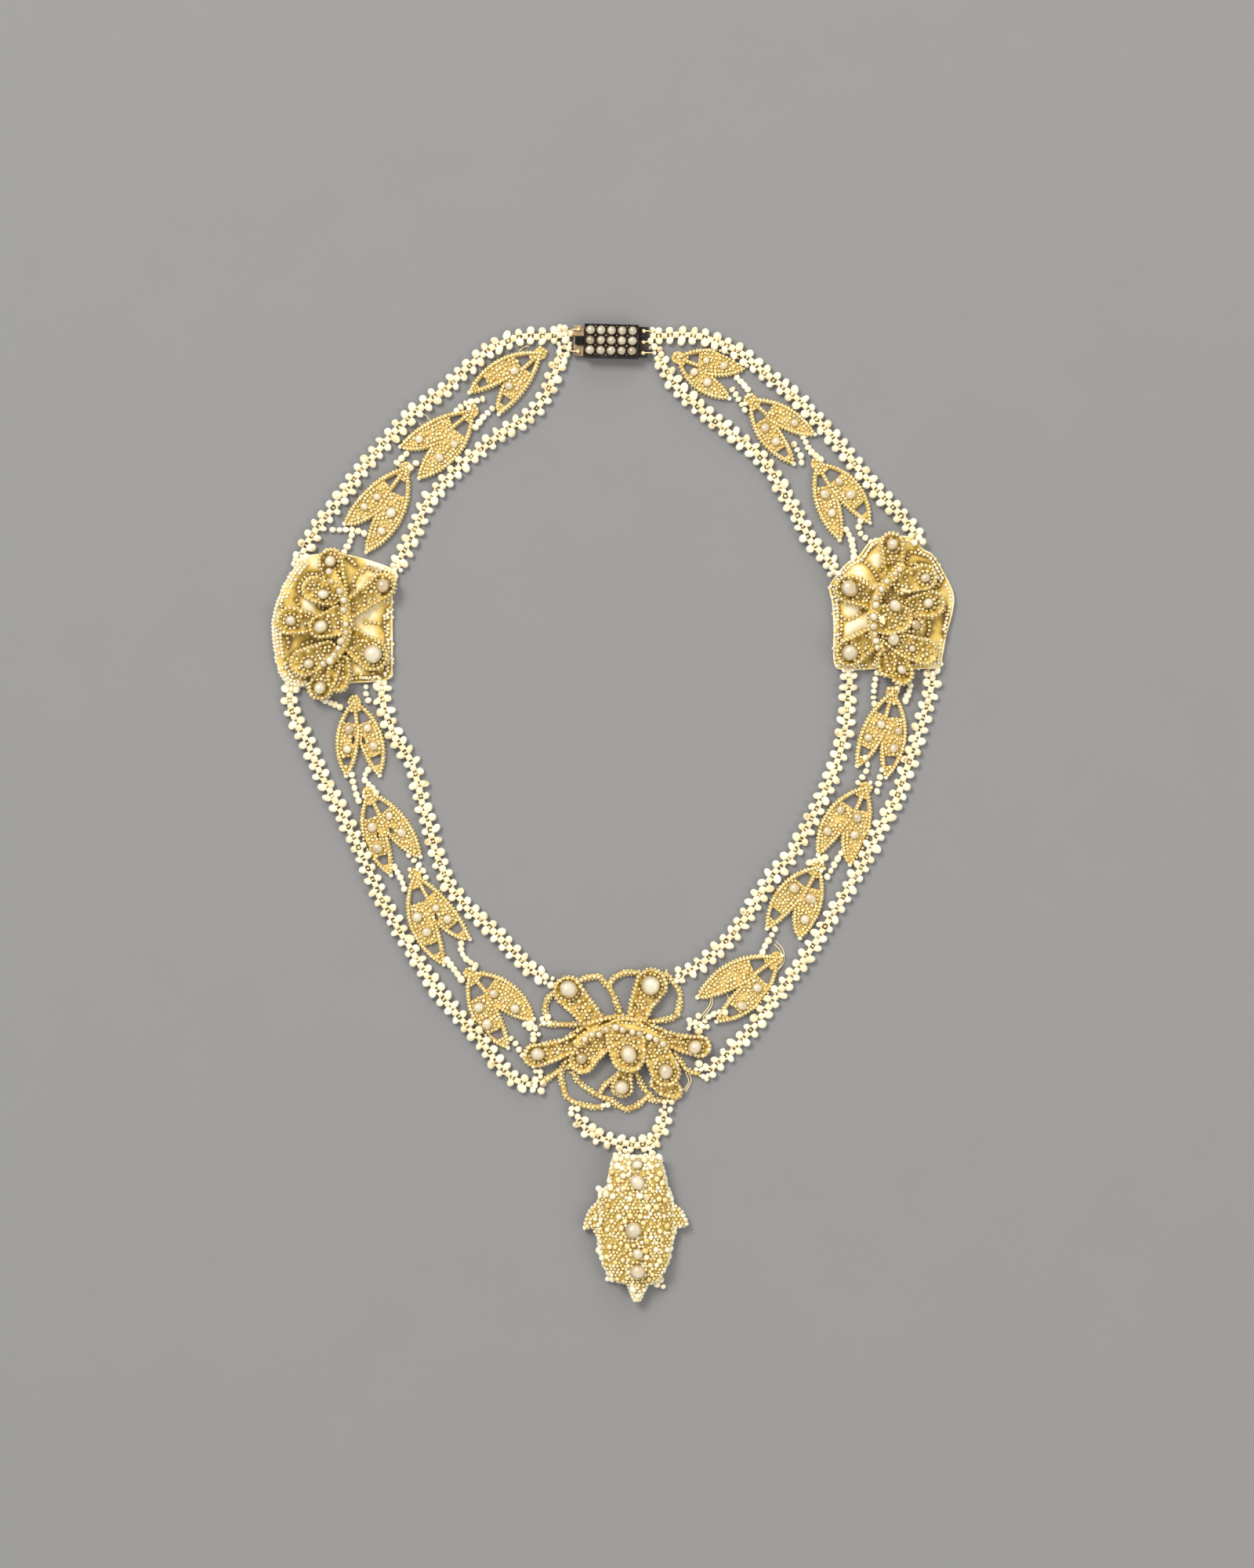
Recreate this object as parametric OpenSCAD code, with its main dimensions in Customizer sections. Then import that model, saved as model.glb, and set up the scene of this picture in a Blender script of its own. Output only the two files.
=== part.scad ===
// Pearl collar necklace, fastened and lying flat, face up.
// X is to the right and Y up as the collar is seen from above, and Z points away from the surface.
// The origin is on the surface, under the middle of the outline.

/* [Bands] */
// Width of a woven band, edge to edge of its side beads
band_w = 3.8; // [3.4:0.1:4.0]
// Thickness of a woven band, one bead
band_t = 1.6; // [1.2:0.1:1.8]

/* [Strings] */
// Bead diameter of the short strings between the sprigs
string_d = 1.5; // [1.2:0.1:1.6]

/* [Sprigs] */
// Thickness of the pierced leaf plates
leaf_t = 0.8; // [0.6:0.1:1.0]
// How full the leaves are, as a share of the reach each has in its row below
leaf_full = 1; // [0.85:0.01:1.02]
// Width of the seed-pearl edging on a leaf
edging_w = 0.8; // [0.6:0.1:0.9]
// Height of the seed-pearl edging above the surface
edging_h = 1.3; // [1.1:0.1:1.6]

/* [Plaques] */
// Thickness of the silk-covered plates at the sides
silk_t = 1.5; // [1.2:0.1:2.0]

/* [Flower ornaments] */
// Width of the thin bars of the openwork
bar_w = 1.3; // [1.1:0.1:1.5]
// Height of the thin bars above their base
bar_h = 1.1; // [0.9:0.1:1.4]
// Height of the outer petals above their base
petal_h = 1.9; // [1.6:0.1:2.2]
// Height of the inner lobes above their base
lobe_h = 2.3; // [2.2:0.1:2.8]
// Height of the heart in the middle above its base
core_h = 2.7; // [2.6:0.1:3.2]
// Height of the arched ridge over the heart
arch_h = 3.1; // [3.0:0.1:3.6]
// Width of the arched ridge
arch_w = 2.2; // [1.8:0.1:2.4]

/* [Pendant] */
// Height of the pendant at its middle
pendant_h = 6; // [5:0.1:6.5]
// Radius of its back-to-front crown, across its width
pendant_crown_r = 8.5; // [8.2:0.1:10]
// Radius of its crown along its length
pendant_long_r = 40; // [36:1:50]
// Thickness of the two wings
wing_t = 2.2; // [1.8:0.1:2.6]

/* [Clasp] */
// Length of the box, without its end plates
clasp_l = 11.4; // [11.4:0.1:12]
// Width of the box
clasp_w = 6.9; // [6.9:0.1:7.2]
// Height of the box, without its pearls
clasp_h = 3.0; // [2.9:0.1:3.4]
// Diameter of the half pearls on the box
clasp_pearl_d = 2.0; // [1.8:0.1:2.0]
// Turn of the whole clasp on the surface, in degrees
clasp_turn = -1.5; // [-2:0.1:0]

/* [Hidden] */
$fn = 64;
gap = 0.15;
set_gap = 0.05;
leaf_steps = 10;

// The middle line of each woven band, from the clasp or the plaque downwards
UL_OUTER = [[-8.8, 100.8], [-13.5, 100.2], [-19, 100.1], [-24.3, 98.3], [-28, 96], [-31, 93.2], [-34.5, 89.8],
    [-38.2, 87], [-41.7, 84.4], [-45, 81.1], [-48.3, 77.6], [-51.1, 74.3], [-54, 70.9], [-56.8, 66.7],
    [-59.8, 63.1], [-62.8, 59], [-64.8, 56]];
UL_INNER = [[-9.8, 96.4], [-11.6, 95.4], [-12, 93.5], [-13.1, 90.5], [-14.6, 87.2], [-16.4, 84.7],
    [-19.4, 82.3], [-23, 80.1], [-27.3, 76.8], [-31.4, 73.7], [-35.7, 69.1], [-38.9, 65.6], [-40.7, 61.8],
    [-42.7, 57.5], [-44.8, 53.3]];
UR_OUTER = [[8.3, 100.2], [13.1, 100.4], [18, 100.1], [22.5, 98.8], [27.3, 96.3], [31, 93.1], [34.2, 90.5],
    [38, 87.7], [41.5, 84.1], [45.5, 79.8], [49.7, 74.7], [52.7, 70.9], [57.5, 65.6], [61.6, 61.2]];
UR_INNER = [[9.4, 95.6], [11.1, 93.3], [13.1, 89.8], [17.4, 85.6], [22.7, 81.3], [28.3, 77.1], [31.4, 74],
    [34.1, 70.4], [36.5, 66.1], [39, 62], [41.2, 57.7], [45, 53.4]];
LL_OUTER = [[-68.1, 24.8], [-67.9, 22.5], [-66.6, 18.9], [-64.3, 14.6], [-61.5, 8], [-58.2, 1.7],
    [-54.9, -4.5], [-51.9, -11.1], [-49.1, -17.4], [-45.8, -23.3], [-43.3, -27.6], [-39.5, -33.6],
    [-36.7, -37.9], [-31.9, -43.5], [-27.5, -48.4], [-22.9, -54.4], [-19.5, -56.6], [-16.6, -57.2]];
LL_INNER = [[-48.7, 25.2], [-48.1, 22], [-46.8, 17.9], [-44.8, 14.1], [-42.5, 10.6], [-41, 6.4], [-40.3, 2.4],
    [-39, -1.6], [-37.4, -7.8], [-34.9, -14.4], [-31.1, -19.6], [-26, -24.2], [-21.5, -28.8], [-16.9, -33.4],
    [-14.3, -34.5]];
LR_OUTER = [[67.2, 28.4], [66.4, 24.3], [65.1, 19.7], [63.8, 15.4], [61.8, 9.2], [59.5, 2.9], [56.3, -2.9],
    [53.4, -9.2], [49.6, -15.6], [46, -21.7], [42.3, -27.5], [38.4, -33.4], [33.7, -39.2], [29.6, -44.8],
    [24.3, -50.7], [20.2, -54.2]];
LR_INNER = [[49.6, 27.8], [49.3, 23.2], [48.6, 16.7], [46.8, 9.8], [44.1, 3.5], [41, -2.6], [37.4, -9],
    [32.8, -14.1], [28.8, -20.5], [25, -25.8], [19.4, -31.1], [15.8, -33.4], [14, -34.2]];
SWAG = [[-7.5, -64], [-6.3, -66], [-4, -67.9], [0.4, -69.2], [4.9, -69.9], [8.4, -68.9], [10.2, -66.3],
    [10.6, -63.3]];

// Each sprig: node, stem, then for its long leaf and its short leaf the tip, how far the leaf reaches to its
// outer side and to its inner side, and whether its tip is pierced
SPRIGS = [
    ["sprig_ul_1", [-15.3, 96.6], [-30.2, 88.4], [3.1, 1.5], true, [-24, 83.9], [1.7, 3], true],
    ["sprig_ul_2", [-29.6, 84.5], [-44.8, 77], [2, 3.2], false, [-40.8, 70.4], [3.5, 2.2], false],
    ["sprig_ul_3", [-43.6, 72.5], [-56.5, 60.8], [2.2, 3.2], false, [-51.9, 54.9], [3.8, 1.7], false],
    ["sprig_ur_1", [13.6, 95.7], [28, 94], [2.6, 3], false, [24.3, 87.2], [2.8, 1.5], false],
    ["sprig_ur_2", [28.9, 86.8], [42.3, 79.6], [2.4, 2.2], false, [37.9, 73.4], [3.1, 1.6], true],
    ["sprig_ur_3", [42.9, 73.3], [53.9, 61], [3.8, 1.6], true, [47.6, 57.4], [2.7, 2.2], false],
    ["sprig_ll_1", [-54.5, 23.4], [-56.2, 7.8], [2.9, 1.9], true, [-49.2, 7.9], [3.3, 1.8], true],
    ["sprig_ll_2", [-51.5, 4.2], [-46.8, -13.1], [3.6, 1.5], true, [-40.6, -9.2], [2.7, 2.5], false],
    ["sprig_ll_3", [-41.7, -13.1], [-35.7, -31.9], [4.3, 1.3], true, [-30.2, -26.5], [1.7, 3.4], true],
    ["sprig_ll_4", [-30.1, -33.8], [-22.2, -49.4], [3.8, 1.7], true, [-16.8, -43.3], [3.3, 2.6], false],
    ["sprig_lr_1", [58.7, 25.3], [51.3, 9.9], [2.4, 2.4], true, [57.4, 7.5], [3.6, 1.7], true],
    ["sprig_lr_2", [53.1, 5.2], [43.1, -8.8], [3.7, 1.3], false, [49.8, -10.8], [2.6, 3.1], false],
    ["sprig_lr_3", [43.2, -11.5], [32.4, -24.3], [3.6, 1.5], true, [39.3, -26.3], [2.6, 3], false],
    ["sprig_lr_4", [34.4, -30.5], [17.8, -38.8], [3.5, 1.9], false, [21.8, -43.9], [4, 1.5], true]
];
// Slots in the middle of the leaves: node, 2 for the long leaf or 5 for the short one, share of its length,
// distance from its midline, length, width
SLOTS = [
    ["sprig_ll_1", 2, 0.52, -0.7, 2, 0.8],
    ["sprig_ll_1", 5, 0.52, -0.8, 1.8, 0.8],
    ["sprig_ll_2", 2, 0.52, 0.4, 2.2, 0.6],
    ["sprig_ll_2", 5, 0.54, -1.3, 1.8, 0.9],
    ["sprig_ll_3", 2, 0.5, -1.6, 1.9, 0.8]
];

// Each larger pearl on the sprigs: x, y, diameter
PEARLS_UL = [[-20.7, 92.8, 2], [-22, 89.6, 2], [-40.8, 78.5, 1.7], [-33.5, 77.5, 1.8], [-36.6, 74.6, 1.9],
    [-49.6, 66.4, 1.7], [-52.4, 64.3, 1.9], [-46.8, 63, 2.1], [-48.7, 59.2, 1.9]];
PEARLS_UR = [[19.5, 95.1, 1.6], [23.2, 94, 1.9], [17, 92.6, 1.8], [19.8, 90.5, 2], [31.9, 81, 2],
    [34.1, 78, 2], [38, 82, 1.9], [47.4, 69.6, 1.8], [44.4, 67, 2.1], [50, 66.9, 2.1], [46, 63, 2]];
PEARLS_LL = [[-55.5, 17.5, 2.1], [-56, 13.4, 2.1], [-51.7, 17.9, 2.1], [-50.4, 14, 2], [-50.7, -3, 2.1],
    [-49.6, -7.5, 2.3], [-47.1, -0.7, 1.7], [-44.5, -4.2, 2], [-41.3, -22, 2.3], [-39.2, -25, 2],
    [-37.4, -20, 1.7], [-34.9, -22.4, 2], [-28.3, -40.9, 2.3], [-26.5, -44.5, 2.3], [-25.1, -38.1, 2.1],
    [-20.7, -41.2, 2.1]];
PEARLS_LR = [[56.3, 18.6, 1.8], [53.6, 15.8, 1.7], [60, 17.2, 1.7], [59, 13.6, 2.1], [47.8, 0.6, 1.8],
    [45.1, -3.9, 2], [51.2, -1.1, 2.1], [50.7, -4.7, 2], [38, -15.8, 2.3], [41.5, -18.1, 2.3],
    [40.2, -22.5, 2.1], [30.3, -36.7, 2.1], [27.1, -40.5, 2.1]];

// The short bead strings, each by the middle line of its beads
STRINGS_UL = [
    [[-28.6, 87.3], [-29.8, 87], [-31, 86.5], [-32.3, 85.8]],
    [[-25.9, 85.2], [-26.8, 84.1], [-27.6, 82.8], [-28.3, 81.9]],
    [[-58.8, 59.5], [-57, 59.4], [-55.4, 59.5], [-53.9, 59.5], [-52.8, 59.1]],
    [[-55.1, 58.4], [-55.3, 57.4], [-55.7, 56]]
];
STRINGS_UR = [
    [[26.2, 91.2], [27.2, 90], [28.2, 88.9]],
    [[25.3, 88.6], [26, 87.6], [26.7, 86.4], [27.2, 85.3]],
    [[40.3, 78.7], [40.7, 77.4], [41.1, 76.3]],
    [[38.4, 77.2], [39, 76.2], [39.7, 75.2]],
    [[51.8, 60.7], [51.7, 59.7], [52.1, 58.8]],
    [[49.1, 58.9], [49.8, 57.8], [50.4, 56.4], [50.5, 55]]
];
STRINGS_LL = [
    [[-60, 23.3], [-58.8, 22.8], [-57.7, 22.4]],
    [[-54.8, 7.4], [-54.5, 6], [-54.2, 4.6]],
    [[-51.6, 8.2], [-52.2, 7.2], [-51.8, 6.2]],
    [[-45.6, -12.2], [-44.8, -13.4], [-44.4, -15]],
    [[-41.8, -10.1], [-41, -10.6], [-40.2, -11.2]],
    [[-34.8, -31.6], [-33.9, -32.4], [-33, -33.4]],
    [[-31.6, -27.8], [-31.8, -29], [-31.2, -30.6]],
    [[-21.1, -47.8], [-20.4, -48.6], [-19.7, -49.4]],
    [[-18, -45], [-17.2, -45.6], [-16.4, -46.4]]
];
STRINGS_LR = [
    [[55.2, 29], [54.9, 27.6], [54.6, 26.2], [54.4, 24.8], [54.4, 23.4]],
    [[62.4, 26.4], [62, 25], [61.6, 23.8]],
    [[53.7, 9.3], [53.4, 8.2], [52.7, 7.2]],
    [[55.9, 8], [55.8, 6.8], [55.7, 5.6]],
    [[47.4, -9.2], [46.6, -10.6], [45.8, -12]],
    [[33.8, -25], [33, -26.5], [32.2, -28]],
    [[17.9, -42.6], [18.6, -43.8], [18.7, -45.2], [18.4, -46.4]]
];

// The silk-covered plates
PLATE_LEFT = [[-65.4, 53.4], [-63, 54.3], [-56, 54.3], [-46.6, 51.4], [-45.5, 49], [-46.4, 46], [-46.4, 31.6],
    [-47.4, 28], [-56.5, 27.2], [-66.4, 26.6], [-69.6, 28.4], [-71, 32.4], [-71.7, 38.8], [-71.1, 43],
    [-69.7, 47], [-67.7, 50.6]];
PLATE_RIGHT = [[65.3, 55.4], [67.2, 54.2], [69.6, 50.4], [71.6, 46], [71.4, 42.2], [70.1, 37.4], [69.2, 32.6],
    [68, 30.4], [55.5, 30.2], [48.4, 30], [46.4, 31.6], [46.3, 39], [46, 44], [45.4, 47.4], [47, 50.2],
    [49.5, 52.8], [51.6, 54], [54, 57], [57.4, 58], [62.3, 58]];

// Each petal: base, middle, eye, the half widths there, and its layer, 0 petal, 1 lobe, 2 heart
PETALS_CENTRE = [
    [[-4, -44], [-6.5, -41], [-9.5, -37.5], [2.3, 2.5, 3.1], 0],
    [[5, -43.5], [6, -40], [8, -36.2], [2, 2.5, 3.4], 0],
    [[-7.5, -48], [-11.5, -49.8], [-16.4, -51.1], [1.8, 2, 2.5], 0],
    [[10.5, -47], [14, -48.4], [18.2, -49.1], [1.3, 1.8, 2.3], 0],
    [[2.5, -54], [2.2, -56], [1.9, -57.5], [1.3, 1.7, 2.3], 0],
    [[8.7, -56.4], [10.8, -57.8], [12.8, -58.3], [1.4, 1.8, 1.7], 0],
    [[-8.3, -47.2], [1, -44.1], [10, -46.6], [1.2, 1.7, 1.2], 0],
    [[-1, -47.5], [-4.5, -49.5], [-6.5, -52], [2.1, 2.8, 2.8], 1],
    [[5.5, -47.5], [9, -50.5], [11, -54.4], [2.1, 2.8, 3.1], 1],
    [[2.5, -45], [2.6, -48], [3.2, -51], [4, 4.1, 3.6], 2]
];
PETALS_LEFT = [
    [[-57.8, 46.4], [-58.5, 49.3], [-59.3, 52.7], [2, 2.3, 2.7], 0],
    [[-55.2, 42.7], [-51.6, 45.3], [-48.4, 47.6], [2.1, 2.3, 2.7], 0],
    [[-55.2, 37], [-53.2, 34.9], [-50.6, 33.1], [2.3, 3, 3.4], 0],
    [[-59, 31.6], [-60.1, 28.8], [-61.5, 26.2], [2.1, 2.4, 2.6], 0],
    [[-57.6, 32], [-57.6, 29.4], [-57.8, 27.5], [2.2, 2.5, 2.2], 0],
    [[-63.1, 39.8], [-65.4, 40], [-67.6, 40.2], [2, 2.5, 3], 0],
    [[-58.2, 45.3], [-60.1, 46], [-62.5, 46.9], [2, 2.6, 2.8], 1],
    [[-59, 34.4], [-61.8, 32.8], [-64.8, 31.4], [2, 2.6, 3], 1],
    [[-56.8, 41], [-58.5, 39.8], [-61.3, 39], [3, 3, 2.5], 2]
];
PETALS_RIGHT = [
    [[59, 50.9], [58.7, 53.5], [58.5, 56.3], [2, 2.3, 2.5], 0],
    [[55, 44.3], [52.7, 45.6], [49.6, 46.9], [2.1, 2.5, 3.1], 0],
    [[54.7, 37], [52.4, 35.4], [49.6, 33.6], [2.1, 2.5, 3], 0],
    [[57.8, 35.6], [59.2, 32.4], [60.6, 29.2], [2, 2.3, 2.4], 0],
    [[57.4, 34], [57.4, 31.6], [57.4, 30.3], [1.8, 2.1, 1.8], 0],
    [[60, 40], [61.8, 39.6], [63.4, 39.4], [1.8, 1.8, 1.8], 0],
    [[62.3, 43.1], [64.3, 43.5], [66.7, 43.8], [2, 2.5, 2.9], 0],
    [[59.8, 47.6], [62.3, 48.6], [65.1, 49.3], [2, 2.5, 2.8], 1],
    [[57.6, 37.4], [61.2, 35], [65.3, 33.7], [2, 2.5, 2.8], 1],
    [[55.7, 40.7], [57.7, 40.3], [59.8, 40.7], [3, 3.3, 3], 2]
];
ARCH_CENTRE = [[-8, -49], [-6, -47.2], [-3, -45.9], [1, -45], [5.5, -45.4], [8.5, -46.9], [11.5, -49.5]];
ARCH_LEFT = [[-59.4, 50.6], [-58, 48.5], [-56.5, 45], [-56, 41], [-56, 38], [-57, 34.6], [-59.8, 31.4]];
ARCH_RIGHT = [[61, 52], [58.5, 49.5], [56, 46.5], [54.6, 43], [54.4, 40], [54.8, 36.6], [56.6, 33.6]];

// The thin bars of the pierced ornament
BARS = [
    [[-15.3, -44.2], [-11.2, -44.6], [-6.2, -44.4], [-1.2, -43.2], [3, -43.2], [8, -43.9], [11.4, -43.5],
        [13.8, -42.5]],
    [[-7.6, -35.6], [-5, -34.6], [-3, -34.6], [-1.6, -36], [-0.4, -37.6], [0.6, -40], [1.7, -42.6]],
    [[-1, -36.4], [0.5, -34.6], [2.6, -33.7], [5.4, -33.8]],
    [[10.8, -33.6], [12.5, -35.6], [13.8, -37.6], [14, -39.9], [13.4, -42.8]],
    [[-12.4, -37.6], [-14, -39.6], [-14.3, -41.8], [-13.6, -44.4]],
    [[-9.6, -51.6], [-11, -54.6], [-10.6, -57.5], [-9.6, -60], [-7, -61.4], [-4.5, -61.9], [-2.4, -61.9]],
    [[-8.6, -54.4], [-7, -57], [-5, -58.4], [-3, -59.6], [-0.6, -60.4], [1.2, -61.8], [3, -62.4], [5, -61.6],
        [7.4, -59.6]],
    [[-3, -59.6], [-1.8, -57.4], [1, -55]],
    [[4.6, -54.4], [6.2, -57.6], [8, -59.9]],
    [[7, -60], [9.6, -60.6], [12, -60.4], [14, -59.6]],
    [[-9, -53], [-11.6, -54.5], [-13.6, -55.8], [-15.4, -56.8]],
    [[12.6, -50], [14.4, -52.9], [16, -54.4], [18.3, -54.9]]
];

// Each larger pearl on the ornaments: x, y, diameter, layer under it
SET_CENTRE = [[-9.5, -37.1, 3.9, 0], [7.8, -36.2, 4.2, 0], [-15.9, -50.7, 3, 0], [17.1, -49.2, 2.8, 0],
    [1.7, -57.6, 3.2, 0], [-6.7, -51.6, 2.5, 1], [11, -54.4, 3.1, 1], [3.2, -50.6, 3.6, 2]];
SET_LEFT = [[-59.3, 52.7, 2.6, 0], [-67.6, 40.2, 2.3, 0], [-61.5, 26.2, 2.8, 0], [-48.3, 47.6, 2.8, 0],
    [-50.4, 33.2, 3.7, 0], [-60.8, 45.8, 2.3, 1], [-63.8, 31.2, 2.3, 1], [-61.3, 39, 3.1, 2]];
SET_RIGHT = [[58.5, 56.3, 2.6, 0], [49.6, 46.9, 3.6, 0], [49.6, 33.6, 3.3, 0], [66, 43.9, 2.3, 0],
    [60.5, 30, 2, 0], [65.4, 49.2, 2.1, 1], [58.8, 36.2, 2.4, 1], [59.1, 43.4, 2.7, 2],
    [62.7, 34.4, 1.6, 1], [63.4, 39.4, 2.4, 0]];

// The pendant
PENDANT = [[1, -72.6], [-0.2, -74], [-1, -78], [-2, -81.5], [-3, -86.5], [-2.6, -93], [-0.6, -97], [3, -99],
    [7, -99], [10, -97], [11.6, -93], [12.8, -86.5], [12.2, -81.5], [11, -78], [10, -74], [9, -72.6]];
WING_LEFT = [[-0.6, -78.8], [-1.9, -79], [-2.9, -80.2], [-3, -81.6], [-4.6, -83.2], [-5.6, -85.4],
    [-6, -87.3], [-4.4, -87.1], [-3.2, -89.4], [-1, -92.5]];
WING_RIGHT = [[11, -81], [12.4, -82.2], [14.2, -83.6], [15, -85], [15.4, -86.7], [13.2, -87.1], [12, -89.6],
    [10.5, -92]];
pendant_mid = [5, -85];
// Each larger pearl on the pendant: x, y, diameter
SET_PENDANT = [[5, -73.6, 2], [5, -77.2, 3], [4.1, -87.3, 3.3], [5.2, -92.2, 2.3], [5.2, -96, 3.1]];
tip_r = 2;
tip_end_r = 0.6;
tip_top = -98.6;
tip_low = -102.7;

// The clasp, in its own frame with X along it
clasp_at = [-0.4, 99];
wall = 0.5;
rim_w = 0.2;
rim_h = 0.5;
plate_l = 2.1;
plate_w = 6.4;
plate_t = 0.6;
plate_z = 1.1;
hole_d = 0.8;
hole_pitch = 2.3;
mouth_w = 5;
mouth_h = 1.9;
leaf_l = 9;
leaf_w = 4.4;
tongue_t = 0.4;
lever_t = 0.3;
lever_w = 4.2;
lever_rise = 3;
fold_x = 4.2;
fold_z = 1.25;
neck_w = 1.4;
thumb_w = 1.7;
thumb_l = 1.7;
thumb_t = 0.9;
thumb_z = 2.05;
slot_w = 2;
pearl_pitch = [2.2, 2.12];

// Points of a smooth curve through p, each span cut in per parts
function span_point(a, b, c, d, t) =
    (2 * b + (c - a) * t + (2 * a - 5 * b + 4 * c - d) * t * t + (3 * b - a - 3 * c + d) * t * t * t) / 2;
function smooth(p, per) = let (n = len(p)) concat([for (i = [0 : n - 2], k = [0 : per - 1])
    span_point(p[max(i - 1, 0)], p[i], p[i + 1], p[min(i + 2, n - 1)], k / per)], [p[n - 1]]);
function smooth_loop(p, per) = let (n = len(p)) [for (i = [0 : n - 1], k = [0 : per - 1])
    span_point(p[(i + n - 1) % n], p[i], p[(i + 1) % n], p[(i + 2) % n], k / per)];

// The direction to the left of a route at its point i
function left_of(p, i) =
    let (v = p[min(i + 1, len(p) - 1)] - p[max(i - 1, 0)]) [-v.y, v.x] / norm(v);

// A strip along a route, half[i] wide to each side
function strip(p, half) = concat([for (i = [0 : len(p) - 1]) p[i] + half[i] * left_of(p, i)],
    [for (i = [len(p) - 1 : -1 : 0]) p[i] - half[i] * left_of(p, i)]);
function even(p, w) = [for (q = p) w / 2];

// A level tube with eight sides, w wide and t thick, with its lowest faces on the surface
module tube(p, w, t) {
    sides = 8;
    turn = 360 / sides;
    grow = 1 / cos(turn / 2);
    rings = [for (i = [0 : len(p) - 1], k = [0 : sides - 1])
        let (a = (k + 0.5) * turn, at = p[i] + left_of(p, i) * grow * w / 2 * cos(a))
        [at.x, at.y, t / 2 + grow * t / 2 * sin(a)]];
    last = (len(p) - 1) * sides;
    walls = [for (i = [0 : len(p) - 2], k = [0 : sides - 1])
        let (a = i * sides, m = (k + 1) % sides) [a + k, a + sides + k, a + sides + m, a + m]];
    ends = [[for (k = [0 : sides - 1]) k], [for (k = [sides - 1 : -1 : 0]) last + k]];
    polyhedron(rings, concat(walls, ends), convexity = 8);
}

// A pearl of diameter d whose underside is cut flat, resting at height z
module set_pearl(x, y, d, z) {
    sunk = 0.3 * d;
    translate([x, y, z]) intersection() {
        translate([0, 0, d / 2 - sunk]) sphere(d = d);
        translate([-d, -d, 0]) cube(2 * d);
    }
}

// The reach of a leaf to each side of its midline, at the share t of its length
function reach_out(t) = leaf_full * pow(sin(180 * t), 0.7);
function reach_in(t) = leaf_full * pow(sin(180 * t), 0.5);

// Which way the short leaf lies from the long one
function turn_of(s) = let (a = s[2] - s[1], b = s[5] - s[1]) a.x * b.y - a.y * b.x > 0 ? 1 : -1;

// A leaf's outline between two shares of its length, inset by rim, its outer edge on the given side
function leaf_part(stem, tip, reach, side, from, to, rim) =
    let (along = tip - stem, across = side * [-along.y, along.x] / norm(along))
    let (step = (to - from) / leaf_steps) concat(
        [for (k = [0 : leaf_steps]) let (t = from + step * k)
            stem + along * t + across * max(reach[0] * reach_out(t) - rim, 0.02)],
        [for (k = [leaf_steps : -1 : 0]) let (t = from + step * k)
            stem + along * t - across * max(reach[1] * reach_in(t) - rim, 0.02)]);

module both_leaves(s, from, to, rim) {
    polygon(leaf_part(s[1], s[2], s[3], -turn_of(s), from, to, rim));
    polygon(leaf_part(s[1], s[5], s[6], turn_of(s), from, to, rim));
}

// The bar between the two openings at the stem
module stem_bar(s, reach) {
    mid = (s[2] + s[5]) / 2;
    far = s[1] + (mid - s[1]) * reach;
    polygon(strip([s[1], far], even([0, 0], edging_w)));
}

module tip_hole(s, leaf) {
    side = leaf == 2 ? -turn_of(s) : turn_of(s);
    polygon(leaf_part(s[1], s[leaf], s[leaf + 1], side, 0.75, 0.87, edging_w));
}

// A pointed slot beside the midline of a leaf
module slot(s, leaf, t, off, length, width) {
    side = leaf == 2 ? -turn_of(s) : turn_of(s);
    along = (s[leaf] - s[1]) / norm(s[leaf] - s[1]);
    at = s[1] + t * (s[leaf] - s[1]) + off * side * [-along.y, along.x];
    line = [for (k = [-3 : 3]) at + along * length * k / 6];
    polygon(strip(line, [for (k = [-3 : 3]) max(width / 2 * cos(30 * k), 0.03)]));
}

// Room for the pearls that are set above a height
module seats(rows, z) {
    for (p = rows) translate([p[0], p[1], z]) cylinder(d = p[2] + 2 * gap, h = 10);
}

// The two bands beside a sprig, with room around them
module band_room(outer, inner) {
    room = band_w + 2 * gap;
    polygon(strip(outer, even(outer, room)));
    polygon(strip(inner, even(inner, room)));
}

// What lies beside sprig k: its outer band, its inner band and its pearls
function quarter(k) = k < 3 ? [UL_OUTER, UL_INNER, PEARLS_UL] : k < 6 ? [UR_OUTER, UR_INNER, PEARLS_UR]
    : k < 10 ? [LL_OUTER, LL_INNER, PEARLS_LL] : [LR_OUTER, LR_INNER, PEARLS_LR];

module sprig(s, near) {
    stem_r = 1.3;
    color("goldenrod") difference() {
        union() {
            linear_extrude(leaf_t) both_leaves(s, 0.01, 0.99, 0);
            linear_extrude(edging_h) difference() {
                both_leaves(s, 0.01, 0.99, 0);
                difference() {
                    both_leaves(s, 0.12, 0.9, edging_w);
                    stem_bar(s, 0.4);
                }
            }
            translate(s[1]) cylinder(r = stem_r, h = edging_h);
        }
        translate([0, 0, -1]) linear_extrude(4) {
            difference() {
                both_leaves(s, 0.14, 0.3, edging_w);
                stem_bar(s, 0.4);
            }
            if (s[4]) tip_hole(s, 2);
            if (s[7]) tip_hole(s, 5);
            for (q = SLOTS) if (q[0] == s[0]) slot(s, q[1], q[2], q[3], q[4], q[5]);
            band_room(near[0], near[1]);
        }
        seats(near[2], leaf_t);
    }
}

module sprig_pearls(rows) {
    color("ivory") for (p = rows) set_pearl(p[0], p[1], p[2], leaf_t + set_gap);
}

module band(p, per) {
    color("ivory") tube(smooth(p, per), band_w, band_t);
}

module strings(rows) {
    color("ivory") for (p = rows) tube(p, string_d, string_d);
}

module plaque(outline) {
    color("blanchedalmond") linear_extrude(silk_t) polygon(smooth_loop(outline, 3));
}

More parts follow.
